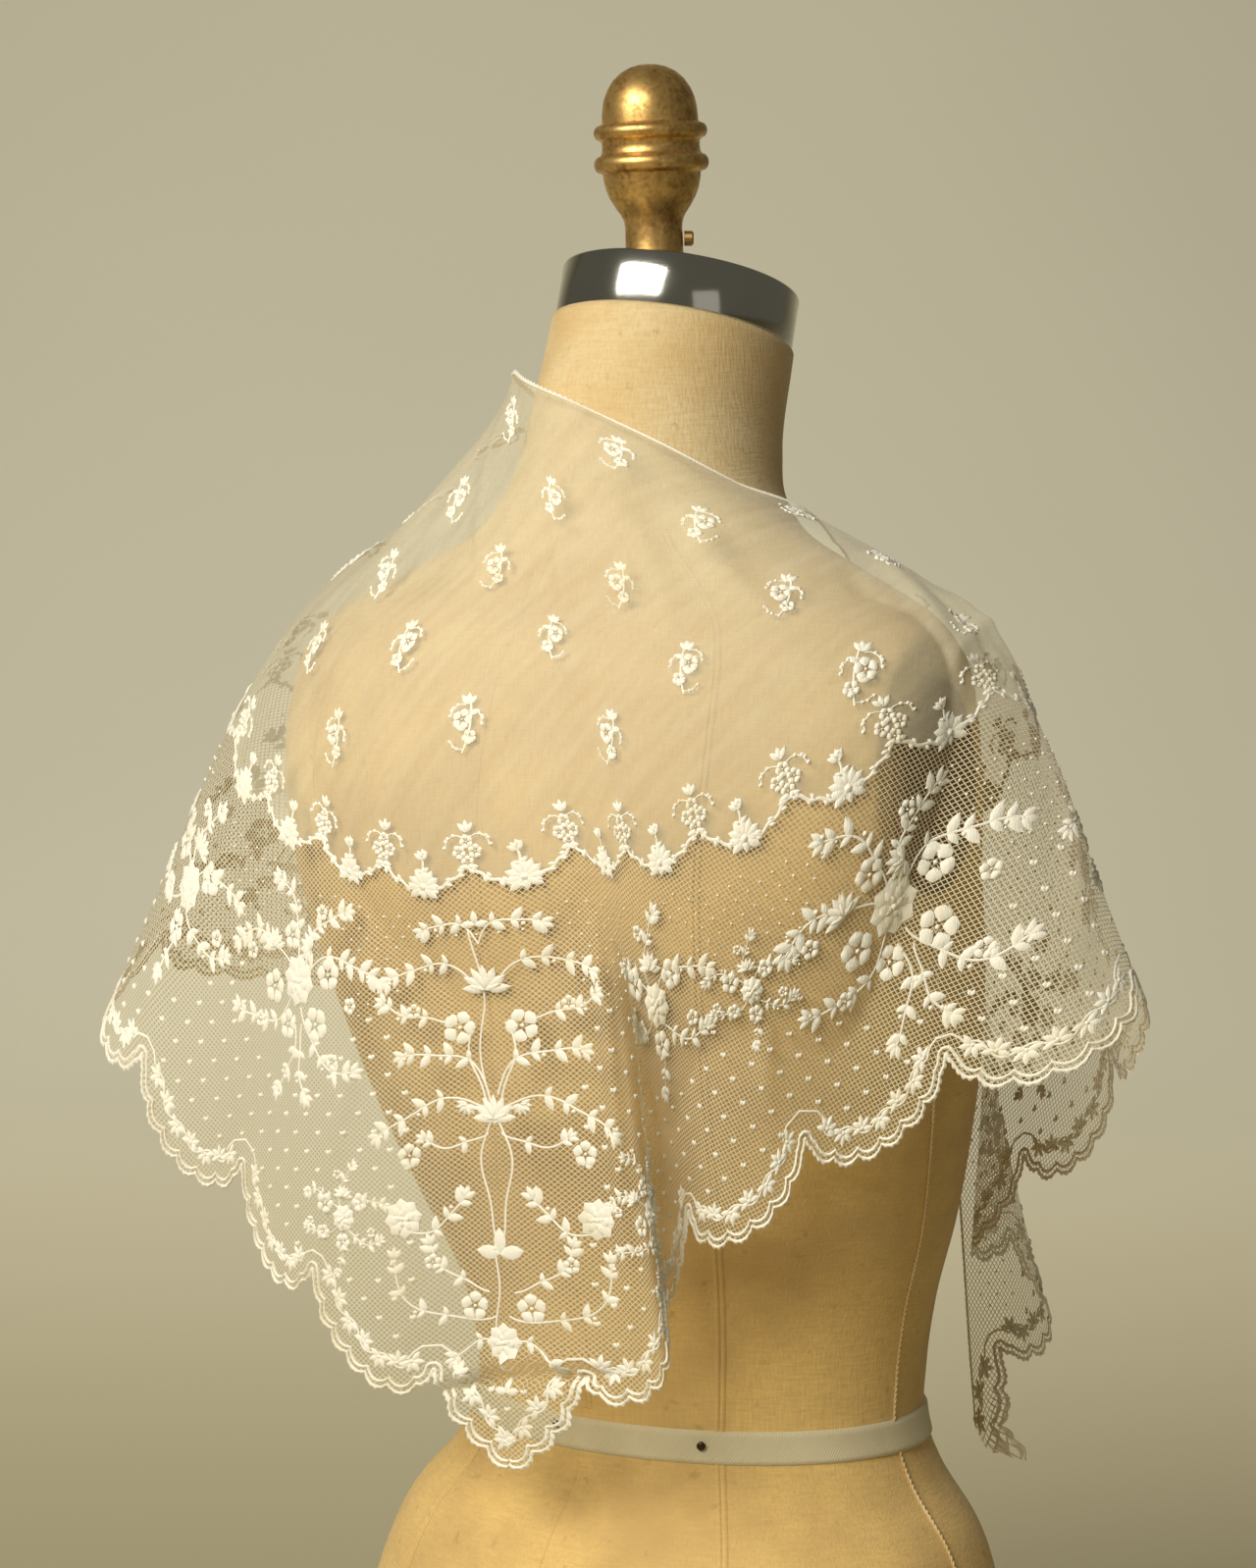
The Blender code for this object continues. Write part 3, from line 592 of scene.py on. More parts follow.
def muslin_finish():
    """Sheer weave: alpha is a base share plus slubs along both threads."""
    made, _, cut = new_finish("mull", Roughness=0.75, Sheen_Weight=0.25)
    warp = noise(scaled(cut, 1, 0.04, 1), 2600)
    weft = noise(scaled(cut, 0.04, 1, 1), 2400)
    cloudy = noise(cut, 35, detail=3)
    turned_by = {0: cut, 3: 0.7}
    slanted = cut.node("ShaderNodeVectorRotate", {"rotation_type": "Z_AXIS"}, turned_by)
    drawn = noise(scaled(slanted, 1, 0.12, 1), 150, detail=3)
    threads = warp * 0.35 + weft * 0.25 + drawn * 0.40
    return feed(
        made,
        Base_Color=blend(cloudy, colour(246, 236, 202), CREAM),
        Alpha=threads.ramp(0.34, 0.66, 0.34, 0.50) + cloudy * 0.06 - 0.03,
        Normal=bumped(threads, 0.3 * MM, 0.3),
    )


def net_finish():
    """Diamond net: two sets of slanting threads, each where the sine of the
    distance across it is near nought, and both at once by their maximum."""
    made, _, cut = new_finish("net", Roughness=0.8, Sheen_Weight=0.2)
    lines = []
    for turn in (MESH_SLANT, -MESH_SLANT):
        wave = math.pi / MESH_PITCH
        phase = dot(cut, (wave * math.cos(turn), wave * math.sin(turn), 0))
        wide = phase.math("ABSOLUTE", phase.math("SINE", phase))
        lines.append(wide.ramp(0.20, 0.46, 1.0, 0.0))
    uneven = noise(cut, 60)
    thread = cut.math("MAXIMUM", *lines)
    return feed(
        made,
        Base_Color=blend(uneven, NET_CREAM, colour(236, 224, 188)),
        Alpha=thread * 0.88 + 0.02,
        Normal=bumped(thread, 0.25 * MM, 0.6),
    )


def thread_finish(name, tint):
    """Soft white cotton with the fine grain of stitches laid side by side."""
    made, place, cut = new_finish(name, Roughness=0.62, Sheen_Weight=0.3)
    stitches = noise(scaled(place, 1, 1, 0.3), 1500)
    worn = noise(place, 30, detail=3)
    return feed(
        made,
        Base_Color=blend(worn.ramp(0.45, 0.8), tint, colour(240, 230, 200)),
        Normal=bumped(stitches, 0.35 * MM, 0.8),
    )


MUSLIN = muslin_finish()
NET = net_finish()
THREAD = thread_finish("white_thread", THREAD_WHITE)
EDGING = thread_finish("edging_thread", colour(250, 245, 226))
TAN_CORD = thread_finish("tan_cord", colour(214, 184, 124))
print("cloth finishes made, net pitch in mm:", MESH_PITCH / MM)

# %% [markdown]
# ## Stitched motifs
# The flowers are satin stitch: threads laid side by side over padding, so a
# petal is a small dome with a ridge. Each motif is drawn in the flat cut from
# three parts, a blade, a boss and a stem, and is laid on the worn cloth with
# the same fall lines as the cloth itself.

# %% Parts of a motif
def joined(parts):
    """Points and faces of several parts as one; each part is a pair."""
    starts = np.cumsum([0] + [len(points) for points, _ in parts[:-1]])
    points = np.concatenate([points for points, _ in parts])
    faces = np.concatenate([face + start for (_, face), start in zip(parts, starts)])
    return points, faces


def blade(length, width, fullest=0.5, bend=0.0, height=1.0):
    """A petal or leaf from the origin along y: its half width is a sine of
    the length, shifted towards the fullest place, and it is domed across."""
    along = np.linspace(0, 1, 5)[:, None]
    across = np.array([-1.0, 0.0, 1.0])[None, :]
    power = math.log(0.5) / math.log(fullest)
    swell = np.sin(math.pi * along**power)
    half = width / 2 * (np.maximum(swell, 0) ** 0.7 + 0.05)
    x = across * half + bend * along**2
    y = length * along + 0 * across
    lift = height * (1 - across**2) * (0.35 + 0.65 * swell) + 0.1
    points = np.stack([x, y, lift], axis=-1).reshape(-1, 3)
    return points, grid_faces(5, 3)


def boss(radius, height, around=7):
    """A small dome: rings that shrink as they rise."""
    turn = np.linspace(0, 2 * math.pi, around, endpoint=False)[None, :]
    size = np.array([1.0, 0.62, 0.06])[:, None] * radius
    lift = np.array([0.1, 0.75, 1.0])[:, None] * height + 0 * turn
    points = np.stack([size * np.cos(turn), size * np.sin(turn), lift], axis=-1)
    return points.reshape(-1, 3), grid_faces(3, around, closed=True)


def winding(length, start, end, count=12, waver=0.0):
    """A path from the origin whose heading turns evenly, in degrees to the
    left of y, with a sine of the length added to it, and that heading."""
    share = np.linspace(0, 1, count)
    heading = np.radians(start + (end - start) * share + waver * np.sin(9 * share))
    step = length / (count - 1)
    middle = (heading[1:] + heading[:-1]) / 2
    moves = np.stack([-np.sin(middle), np.cos(middle)], axis=-1) * step
    return np.concatenate([[[0, 0]], np.cumsum(moves, axis=0)]), heading


def stem(path, width, height=0.6):
    """A stitched line: the path with a raised middle and low edges."""
    way = np.gradient(path, axis=0)
    way /= np.linalg.norm(way, axis=1, keepdims=True)
    right = np.stack([way[:, 1], -way[:, 0]], axis=-1)
    across = np.array([-1.0, 0.0, 1.0])[None, :, None]
    flat = path[:, None] + right[:, None] * across * width / 2
    lift = np.tile(np.array([0.1, height, 0.1])[:, None], (len(path), 1, 1))
    points = np.concatenate([flat, lift], axis=-1).reshape(-1, 3)
    return points, grid_faces(len(path), 3)


def moved(part, at=(0.0, 0.0), turn=0.0, size=1.0, lift=0.0):
    """A part resized, turned to the left by degrees, and moved."""
    points, faces = part
    c, s = math.cos(math.radians(turn)), math.sin(math.radians(turn))
    flat = points[:, :2] @ np.array([[c, s], [-s, c]]) * size + np.asarray(at)
    return np.column_stack([flat, points[:, 2] + lift]), faces


def mirrored(part):
    """A part turned over left to right, with its faces still facing out."""
    points, faces = part
    return points * [-1, 1, 1], faces[:, ::-1]


# %% Flowers, leaves and sprays
def blossom(radius, petals=5):
    """Round petals about an open eye, each on its own side of the middle."""
    petal = blade(radius * 0.78, radius * 0.86, 0.58, height=1.2)
    petal = moved(petal, (0, radius * 0.24))
    turns = np.arange(petals) * 360 / petals
    eye = boss(radius * 0.13, 0.9, 6)
    return joined([moved(petal, turn=turn) for turn in turns] + [eye])


ROSE_ROUNDS = ((8, 1.0, 0.0, 0), (6, 0.70, 0.5, 25), (4, 0.42, 0.9, 10))


def rose(radius):
    """Three rounds of petals, each smaller and higher than the last. A round
    is its number of petals, its share of the radius, its lift and its turn."""
    parts = []
    for count, share, lift, offset in ROSE_ROUNDS:
        petal = blade(radius * share, radius * share * 0.66, 0.64, height=1.1)
        turns = np.arange(count) * 360 / count + offset
        parts += [moved(petal, turn=turn, lift=lift) for turn in turns]
    return joined(parts + [moved(boss(radius * 0.16, 1.2), lift=0.9)])


STEM_POINTS, STEM_WAVER, STEM_WIDTH = 20, 13, 0.9
BARE_SHARE, LEAFY_SHARE = 0.40, 0.52
BERRY_RADIUS, BERRY_LEAN = 0.95, 18


def spray(start, end, length, pairs, leaf):
    """A curved stem, bare at first, with pairs of leaves of uneven size, a
    berry beside every other pair and three leaves at its tip."""
    path, heading = winding(length, start, end, STEM_POINTS, STEM_WAVER)
    parts = [stem(path, STEM_WIDTH)]
    for pair in range(pairs):
        share = BARE_SHARE + LEAFY_SHARE * pair / max(pairs - 1, 1)
        here = int(share * (len(path) - 1))
        turn = math.degrees(heading[here])
        for side in (-1, 1):
            size = 0.98 + 0.22 * share - 0.30 * ((pair + (side > 0)) % 2)
            one = blade(leaf, leaf * 0.50, 0.42, bend=-side * leaf * 0.18, height=1.0)
            parts.append(moved(one, path[here], turn + side * (52 - 16 * share), size))
        if pair % 2:
            beside = moved(boss(BERRY_RADIUS, 1.0, 6), (0.0, leaf * 0.8))
            parts.append(moved(beside, path[here], turn - BERRY_LEAN))
    last = math.degrees(heading[-1])
    tip = blade(leaf, leaf * 0.46, 0.42)
    parts += [moved(tip, path[-1], last + lean, 0.95) for lean in (-40, 0, 40)]
    return joined(parts)


def leaf_fan(size):
    """Seven pointed leaves fanned upwards from one point, and four more,
    shorter, over the gaps between them."""
    leaf = blade(size, size * 0.36, 0.45, height=1.1)
    parts = [moved(leaf, turn=turn) for turn in range(-87, 88, 29)]
    short = [moved(leaf, turn=turn, size=0.66, lift=0.6) for turn in (-72, -15, 15, 72)]
    parts += short
    return joined(parts)


def leaf_trio(size):
    """Three broad leaves, one up and two out to the sides."""
    leaf = blade(size, size * 0.52, 0.5, height=1.1)
    return joined([moved(leaf, turn=turn) for turn in (-82, 0, 82)])


def heart(size):
    """Two round blades leaning apart from one point."""
    half = blade(size, size * 0.66, 0.6, height=0.9)
    return joined([moved(half, (0, -size / 2), turn) for turn in (-30, 30)])


def tendril(length, start, end, berries):
    """A fine curved line with a few berries to one side of it."""
    path, heading = winding(length, start, end, 9)
    parts = [stem(path, 0.5)]
    for share in np.linspace(0.45, 1.0, berries):
        here = int(share * (len(path) - 1))
        parts.append(moved(boss(0.75, 0.9, 6), path[here] + [0.5, 0.0]))
    return joined(parts)


# %% [markdown]
# ## Designs for the middle, the garland and the border
# Whitework of this kind repeats a few designs: a sprig for the middle, two
# clusters for the garland, a bouquet for the border and a flowering tree for
# the corner. Short tables say where each flower and spray of a design stands,
# in millimetres from its own middle.

# %% The designs
KINDS = {"rose": rose, "blossom": blossom, "fan": leaf_fan, "trio": leaf_trio}
FLOWER_LIFT = 0.2


def design(flowers, sprays):
    """A design from rows of x, y and size for each kind of flower, and rows
    of x, y and what spray takes. A flower's turn grows with its x."""
    made = [moved(spray(*row[2:]), row[:2]) for row in sprays]
    for kind, rows in flowers.items():
        for x, y, size in rows:
            made.append(moved(KINDS[kind](size), (x, y), 17 * x, lift=FLOWER_LIFT))
    return joined(made)


def sprig():
    """The small spray of the middle: a bowed stem, two flowers, a bud above
    and two tendrils that droop."""
    bud = [moved(blade(4.6, 2.2), (0.6, 7.4), turn) for turn in (-42, 0, 38)]
    leaf_turns = {-6: 75, -2: -80, 4: 70}
    leaves = [moved(blade(4.4, 2.0), (-0.6, y), turn) for y, turn in leaf_turns.items()]
    line, _ = winding(19, 16, -18)
    parts = bud + leaves + [moved(stem(line, 0.8), (-0.8, -10.5))]
    parts.append(moved(blossom(4.0), (1.6, 1.6), 10, lift=0.2))
    parts.append(moved(blossom(2.9), (-2.6, -4.6), 40, lift=0.2))
    parts.append(moved(tendril(8.5, -70, -190, 4), (1.0, 7.0)))
    parts.append(moved(mirrored(tendril(8.5, -70, -190, 4)), (-0.5, 5.0)))
    parts.append(moved(tendril(7.0, -110, -30, 3), (-1.5, -9.0)))
    return joined(parts)


def garland_peak():
    """A garland's high point: four round flowers, a bud and two tendrils."""
    places = ((0, 2.4), (-2.9, 6.0), (2.9, 6.0), (0, 9.4))
    parts = [moved(blossom(2.5), place, 30 * i) for i, place in enumerate(places)]
    parts += [moved(blade(4.2, 1.8), (0, 12.4), turn) for turn in (-40, 0, 40)]
    parts += [moved(blade(3.8, 1.8), (0, 1.0), turn) for turn in (-95, 95)]
    drooping = moved(tendril(9.0, -45, -180, 4), (1.2, 10.5))
    return joined(parts + [drooping, mirrored(drooping)])


def garland_dip():
    """A garland's low point: a star of leaves under a short twig."""
    leaf = blade(6.6, 2.9)
    parts = [moved(leaf, (0, 1.6), turn) for turn in range(-125, 126, 31)]
    parts.append(moved(blade(4.6, 2.4), (0, 1.6), 180))
    parts.append(moved(spray(6, -6, 8.5, 2, 3.4), (0, 3.0)))
    return joined(parts + [moved(boss(1.6, 1.4), (0, 1.6), lift=0.2)])


BOUQUET = design({
    "rose": [(0, 2, 10.5)],
    "blossom": [
        (-17, -5, 7), (15, -12, 7.2), (18, 9, 6.4), (-8, 18, 5.8), (-4, -17, 6.2),
        (33, 0, 3.6), (-34, 5, 3.6), (9, 32, 3.4), (-25, -20, 3.6), (28, -24, 3.6),
    ],
    "fan": [(-20, 10, 8), (6, 16, 8)],
}, [
    (-4, 4, 40, 128, 44, 5, 6.4), (4, 4, -36, -124, 46, 5, 6.4),
    (-2, 8, -10, 72, 38, 4, 6), (4, 8, 8, -78, 36, 4, 6), (-4, -6, 150, 66, 42, 4, 6),
    (4, -8, -160, -76, 44, 4, 6), (0, -12, 200, 130, 36, 3, 5.6),
    (6, -14, -190, -140, 30, 3, 5.6),
])
POSY = design({
    "rose": [(2, 0, 9.4)],
    "blossom": [
        (-14, 8, 7), (14, 12, 6.4), (3, -16, 6.2), (-14, -11, 5.2), (-27, -6, 3.8),
        (26, -6, 3.6), (-6, 28, 3.4),
    ],
    "fan": [(0, 14, 8)],
}, [
    (0, 2, 30, 112, 38, 4, 6), (2, 2, -28, -118, 38, 4, 6),
    (0, -3, 140, 64, 34, 4, 5.8), (2, -3, -150, -60, 36, 4, 5.8),
    (0, 4, 26, -50, 34, 3, 5.8), (0, -10, 210, 150, 28, 3, 5.4),
])
TREE_SIDE = design({
    "blossom": [
        (14, 144, 7), (38, 92, 5.4), (13, 28, 6.2), (30, 47, 3.6), (34, 152, 3.4),
    ],
    "rose": [(42, 66, 8.6)],
    "fan": [(12, 112, 5)],
}, [
    (0, 180, -28, -128, 30, 3, 6), (3, 160, -40, -130, 48, 4, 6.4),
    (16, 146, -88, -62, 34, 3, 5.6), (2, 116, -22, -112, 46, 4, 6.2),
    (3, 110, -70, -136, 54, 4, 6.4), (3, 100, -128, -64, 30, 2, 5),
    (40, 60, 96, 22, 30, 3, 6.2), (3, 24, -118, -6, 60, 4, 5.6),
    (6, 34, -84, -22, 34, 3, 5.4), (2, 12, -70, -150, 24, 2, 5),
    (1, 54, -24, 16, 52, 0, 3), (1, 108, -36, 6, 38, 0, 3),
])
TREE_MIDDLE = design({
    "fan": [(0, 160, 11), (0, 106, 10)],
    "trio": [(0, 50, 11), (0, 188, 6), (0, -8, 6)],
    "rose": [(0, 13, 8.4)],
}, [
    (0, 0, 6, -6, 52, 0, 3), (0, 104, 4, -4, 84, 0, 3),
])
TREE = joined([TREE_MIDDLE, TREE_SIDE, mirrored(TREE_SIDE)])
print("faces in a bouquet:", len(BOUQUET[1]), "in the tree:", len(TREE[1]))

# %% [markdown]
# ## Paths and places in the flat cut
# The hem is a lobed line with small scallops on it, and the garland hangs in
# festoons along the edge of the muslin. Both are paths in the flat cut with a
# normal at each point, so rows of motifs can be set along them.

# %% Paths
SCALLOP_PITCH = HEM_LEG / (LOBES_A_SIDE * SCALLOPS_A_LOBE)
FESTOON_PITCH, FESTOON_DEPTH = 47 * MM, 11 * MM
HEM_STEP, JOIN_STEP = 0.45 * MM, 0.6 * MM
FIELD_A, _, FIELD_RUN = bowed_leg(FIELD_HALF, FIELD_DEPTH, FIELD_BOW)
Path = namedtuple("Path", "place inward run")


def on_both(values, made):
    """Two columns of values, each turned into another by a function."""
    return np.stack([made(values[:, axis]) for axis in (0, 1)], axis=-1)


def even_path(places, step, soften=1):
    """A path at even steps, smoothed over a few of them, with the normal to
    its right, which is towards the neck edge, and its run from the middle."""
    steps = np.linalg.norm(np.diff(places, axis=0), axis=1)
    run = np.concatenate([[0], np.cumsum(steps)])
    even = np.linspace(0, run[-1], int(run[-1] / step))
    flat = on_both(places, lambda values: np.interp(even, run, values))
    if soften > 1:
        kernel = np.ones(soften) / soften
        padded = np.pad(flat, ((soften // 2, soften // 2), (0, 0)), mode="edge")
        flat = on_both(padded, lambda values: np.convolve(values, kernel, "valid"))
    way = np.gradient(flat, axis=0)
    way /= np.linalg.norm(way, axis=1, keepdims=True)
    corner = even[np.argmin(np.abs(flat[:, 0]) - flat[:, 1])]
    return Path(flat, np.stack([way[:, 1], -way[:, 0]], axis=-1), even - corner)


def band(path, offsets, lifts):
    """A strip along a path: rows at distances inward, from the furthest in
    to the furthest out, each with its lift in millimetres."""
    offsets = np.asarray([np.broadcast_to(row, path.run.shape) for row in offsets])
    flat = path.place[None] + path.inward[None] * offsets[..., None]
    lift = np.broadcast_to(np.asarray(lifts)[:, None, None], (*offsets.shape, 1))
    points = np.concatenate([flat, lift * MM], axis=-1).reshape(-1, 3)
    return points, grid_faces(*offsets.shape)


def along_path(path, runs):
    """Places on a path at runs from its middle, and the turn of a motif
    whose y points inward there."""
    place = on_both(path.place, lambda values: np.interp(runs, path.run, values))
    inward = on_both(path.inward, lambda values: np.interp(runs, path.run, values))
    return place, inward, np.arctan2(-inward[:, 0], inward[:, 1])


def placed(motif, places, turns, sizes=1.0):
    """Copies of a motif, drawn in millimetres, at places of the flat cut."""
    points, faces = motif
    turns = np.broadcast_to(turns, len(places))[:, None]
    sizes = np.broadcast_to(np.asarray(sizes) * MM, len(places))[:, None]
    c, s = np.cos(turns) * sizes, np.sin(turns) * sizes
    a = c * points[None, :, 0] - s * points[None, :, 1] + places[:, None, 0]
    b = s * points[None, :, 0] + c * points[None, :, 1] + places[:, None, 1]
    lift = np.broadcast_to(points[None, :, 2] * MM, a.shape)
    starts = np.arange(len(places))[:, None, None] * len(points)
    everything = np.stack([a, b, lift], axis=-1).reshape(-1, 3)
    return everything, (faces[None] + starts).reshape(-1, 4)


def stitched(name, parts, finish=None):
    """A piece of embroidery: its flat parts laid on the worn cloth."""
    points, faces = joined(parts)
    hem_at, t = worn_place(points[:, 0], points[:, 1])
    places = sampled(hem_at, t, points[:, 2])
    made = new_object(name, places, faces, finish or THREAD, points[:, :2])
    print(name, len(faces) * 2, "triangles")
    return made


def lobed_hem():
    """The hem's lobed line, without its small scallops."""
    hem_at = np.linspace(-HEM_END, HEM_END, 12001)
    return flat_place(hem_at, 1 - lobes(hem_at) / fall_length(hem_at))


def festoon_share(hem_at):
    """Where the muslin ends on each fall line: the field's own line, drawn up
    in festoons that are highest at each pitch and lowest between."""
    share = field_share(hem_at)
    place = flat_place(hem_at, share)
    run = np.interp(np.abs(place[:, 0]), FIELD_A, FIELD_RUN)
    swing = np.abs(2 * ((run / FESTOON_PITCH) % 1) - 1) ** 1.7
    return np.maximum(share - FESTOON_DEPTH * swing / fall_length(hem_at), 0.4 * share)


HEM = even_path(lobed_hem(), HEM_STEP, soften=9)
NEAR_NOTCH = np.abs(np.cos(math.pi * worn_place(*HEM.place.T)[0] * LOBES_A_SIDE))
HEM_WAVE = SCALLOP_DEPTH * np.abs(np.sin(math.pi * HEM.run / SCALLOP_PITCH)) ** 0.8
HEM_WAVE *= np.clip(2.2 * NEAR_NOTCH, 0, 1)
print("hem line in metres:", round(float(np.ptp(HEM.run)), 3), "points", len(HEM.run))

# %% [markdown]
# ## The muslin and the net panels
# The real kerchief has a shallow middle of muslin and two borders of net,
# mitred at the corner. Each is one sheet here: rows of the worn cloth from
# the festooned join to just inside the hem, fine enough for the folds.

# %% The panels
SEAM = 0.3 * MM
FIELD_END_WIDTH = 6 * MM
HEM_INSIDE = 1.5 * MM
FIELD_GRID, NET_GRID = (620, 90), (900, 56)


def field_end(side):
    """Where the field runs out to a narrow end, on one side."""
    hem_at = np.linspace(0.4, HEM_END, 1200)
    width = field_share(side * hem_at) * fall_length(side * hem_at)
    return float(hem_at[np.argmax(width < FIELD_END_WIDTH)])


FIELD_ENDS = {side: field_end(side) for side in (1, -1)}


def cloth_sheet(name, hem_at, start, end, rows, finish):
    """A sheet of the worn cloth between two shares of each fall line."""
    down = np.linspace(0, 1, rows)[:, None]
    t = start + (end - start) * down
    hem_at = np.broadcast_to(hem_at, t.shape)
    return grid_object(name, sampled(hem_at, t, 0.0), finish, flat_place(hem_at, t))


def net_panel(name, side):
    """One border, from the muslin's festooned edge to the hem's lobed line."""
    hem_at = (side * np.linspace(0.0002, HEM_END, NET_GRID[0]))[::side]
    start = np.where(np.abs(hem_at) < FIELD_ENDS[side], festoon_share(hem_at), 0.0)
    end = 1 - (lobes(hem_at) + HEM_INSIDE) / fall_length(hem_at)
    return cloth_sheet(name, hem_at, start, np.maximum(end, start), NET_GRID[1], NET)


field_at = np.linspace(-FIELD_ENDS[-1], FIELD_ENDS[1], FIELD_GRID[0])
field_foot = festoon_share(field_at)
mull = cloth_sheet("kerchief_mull", field_at, 0.0, field_foot, FIELD_GRID[1], MUSLIN)
net_left = net_panel("kerchief_net_left", 1)
net_right = net_panel("kerchief_net_right", -1)
for panel in (mull, net_left, net_right):
    print(panel.name, len(panel.data.polygons) * 2, "triangles")

# %% [markdown]
# ## The scalloped hem
# The rim could be cut into the sheets, but a strip of its own follows the
# lobes and scallops more finely. Two corded lines run along it, and a vine
# waves inside them with a leaf star in each bend.

# %% The hem
CORD_LIFTS = (0.05, 0.75, 1.0, 0.75, 0.05)
CORD_HALF = 0.65 * MM
INNER_CORD = 3.4 * MM
MICRO_PITCH = 3.1 * MM
VINE_IN, VINE_WAVE, VINE_HALF = 10.5 * MM, 2.2 * MM, 0.55 * MM


def corded_line(path, inward, picots=0.0):
    """A domed line at a distance inward, whose outer side has tiny arcs."""
    arcs = picots * np.abs(np.sin(math.pi * path.run / MICRO_PITCH))
    inner = [inward + CORD_HALF, inward + CORD_HALF / 2, inward]
    outer = [inward - (CORD_HALF + arcs) / 2, inward - CORD_HALF - arcs]
    return band(path, inner + outer, CORD_LIFTS)


def leaf_star(size):
    """Five leaves fanned over a small eye, for the bends of the vine."""
    leaf = blade(size, size * 0.42)
    parts = [moved(leaf, turn=turn) for turn in range(-104, 105, 52)]
    return joined(parts + [boss(size * 0.2, 1.0, 6)])


hem_strip = band(HEM, [2 * HEM_INSIDE, 0.0, -HEM_WAVE], [0.05, 0.0, 0.0])
hem_net = stitched("kerchief_hem_net", [hem_strip], NET)


def vine_bend(run):
    """The vine's swing to either side, once in two scallops."""
    return np.sin(math.pi * run / SCALLOP_PITCH)


vine_middle = VINE_IN + VINE_WAVE * vine_bend(HEM.run)
vine_rows = [vine_middle + VINE_HALF, vine_middle, vine_middle - VINE_HALF]
vine = band(HEM, vine_rows, [0.1, 0.6, 0.1])
star_runs = np.arange(HEM.run[0] + 4 * MM, HEM.run[-1], SCALLOP_PITCH)
star_at, star_in, star_turn = along_path(HEM, star_runs)
star_side = np.sign(vine_bend(star_runs))
star_at = star_at + star_in * (VINE_IN - 0.2 * MM * star_side)[:, None]
star_turn = star_turn + np.where(star_side > 0, math.pi, 0.0)
hem_parts = [
    corded_line(HEM, 0.4 * MM - HEM_WAVE, 0.9 * MM),
    corded_line(HEM, INNER_CORD - HEM_WAVE, 0.5 * MM),
    vine,
    placed(leaf_star(6.0), star_at, star_turn),
]
hem_work = stitched("kerchief_hem_work", hem_parts)

# %% [markdown]
# ## Sprigs, garland, bouquets, tree and dots
# Sprigs stand in staggered rows on the muslin. The garland covers the join.
# Bouquets follow the border about every 10 cm, a tree fills the corner, and
# dots fill the net between them, small near the garland and hearts below.

# %% The field and the garland
SPRIG_WIDE, SPRIG_DEEP, SPRIG_FIRST = 76 * MM, 41 * MM, 26 * MM
SPRIG_SIZE, SPRIG_REACH, SPRIG_LEAN = 1.2, 0.80, 0.15
GARLAND_SIZE, PEAK_SHARE = 1.3, 0.86
JOIN_SWAY, JOIN_WAVE, JOIN_HALF, LEAF_PITCH = 0.5 * MM, 9 * MM, 0.8 * MM, 3.6 * MM


def staggered(wide, deep, first, last_a, last_b):
    """Points in rows, every other row moved across by half a pitch."""
    columns, rows = int(last_a / wide) + 1, int((last_b - first) / deep) + 1
    i, j = np.meshgrid(np.arange(-columns, columns + 1), np.arange(rows))
    a, b = (i + 0.5 * (j % 2)) * wide, first + j * deep
    return np.stack([a.ravel(), b.ravel()], axis=-1)


sprig_at = staggered(SPRIG_WIDE, SPRIG_DEEP, SPRIG_FIRST, FIELD_HALF, FIELD_DEPTH)
sprig_at = sprig_at[field_reach(sprig_at) < SPRIG_REACH]
odd = np.round(sprig_at[:, 1] / SPRIG_DEEP) % 2 > 0
sprigs = stitched("kerchief_sprigs", [
    placed(sprig(), sprig_at[~odd], math.pi + SPRIG_LEAN, SPRIG_SIZE),
    placed(mirrored(sprig()), sprig_at[odd], math.pi - SPRIG_LEAN, SPRIG_SIZE),
])

join_at = np.linspace(-FIELD_ENDS[-1], FIELD_ENDS[1], 8001)
JOIN = even_path(flat_place(join_at, festoon_share(join_at)), JOIN_STEP, soften=7)
EDGE = even_path(flat_place(join_at, field_share(join_at)), JOIN_STEP)
last_peak = int(min(-EDGE.run[0], EDGE.run[-1]) / FESTOON_PITCH)
peaks = np.arange(-last_peak, last_peak + 1) * FESTOON_PITCH
dips = peaks[:-1] + FESTOON_PITCH / 2
peak_at, peak_in, peak_turn = along_path(EDGE, peaks)
peak_at = peak_at + peak_in * FESTOON_DEPTH * PEAK_SHARE
dip_at, _, dip_turn = along_path(EDGE, dips)
tiny = np.sin(2 * math.pi * JOIN.run / JOIN_WAVE) * JOIN_SWAY
leaf_runs = np.arange(JOIN.run[0] + 3 * MM, JOIN.run[-1], LEAF_PITCH)
leaf_at, _, leaf_turn = along_path(JOIN, leaf_runs)
leaf_lean = np.where(np.arange(len(leaf_runs)) % 2 > 0, 0.9, math.pi + 0.9)
garland = stitched("kerchief_garland", [
    band(JOIN, [tiny + JOIN_HALF, tiny, tiny - JOIN_HALF], [0.15, 0.8, 0.15]),
    placed(blade(3.4, 1.7), leaf_at, leaf_turn + leaf_lean),
    placed(garland_peak(), peak_at, peak_turn, GARLAND_SIZE),
    placed(garland_dip(), dip_at, dip_turn, GARLAND_SIZE),
])

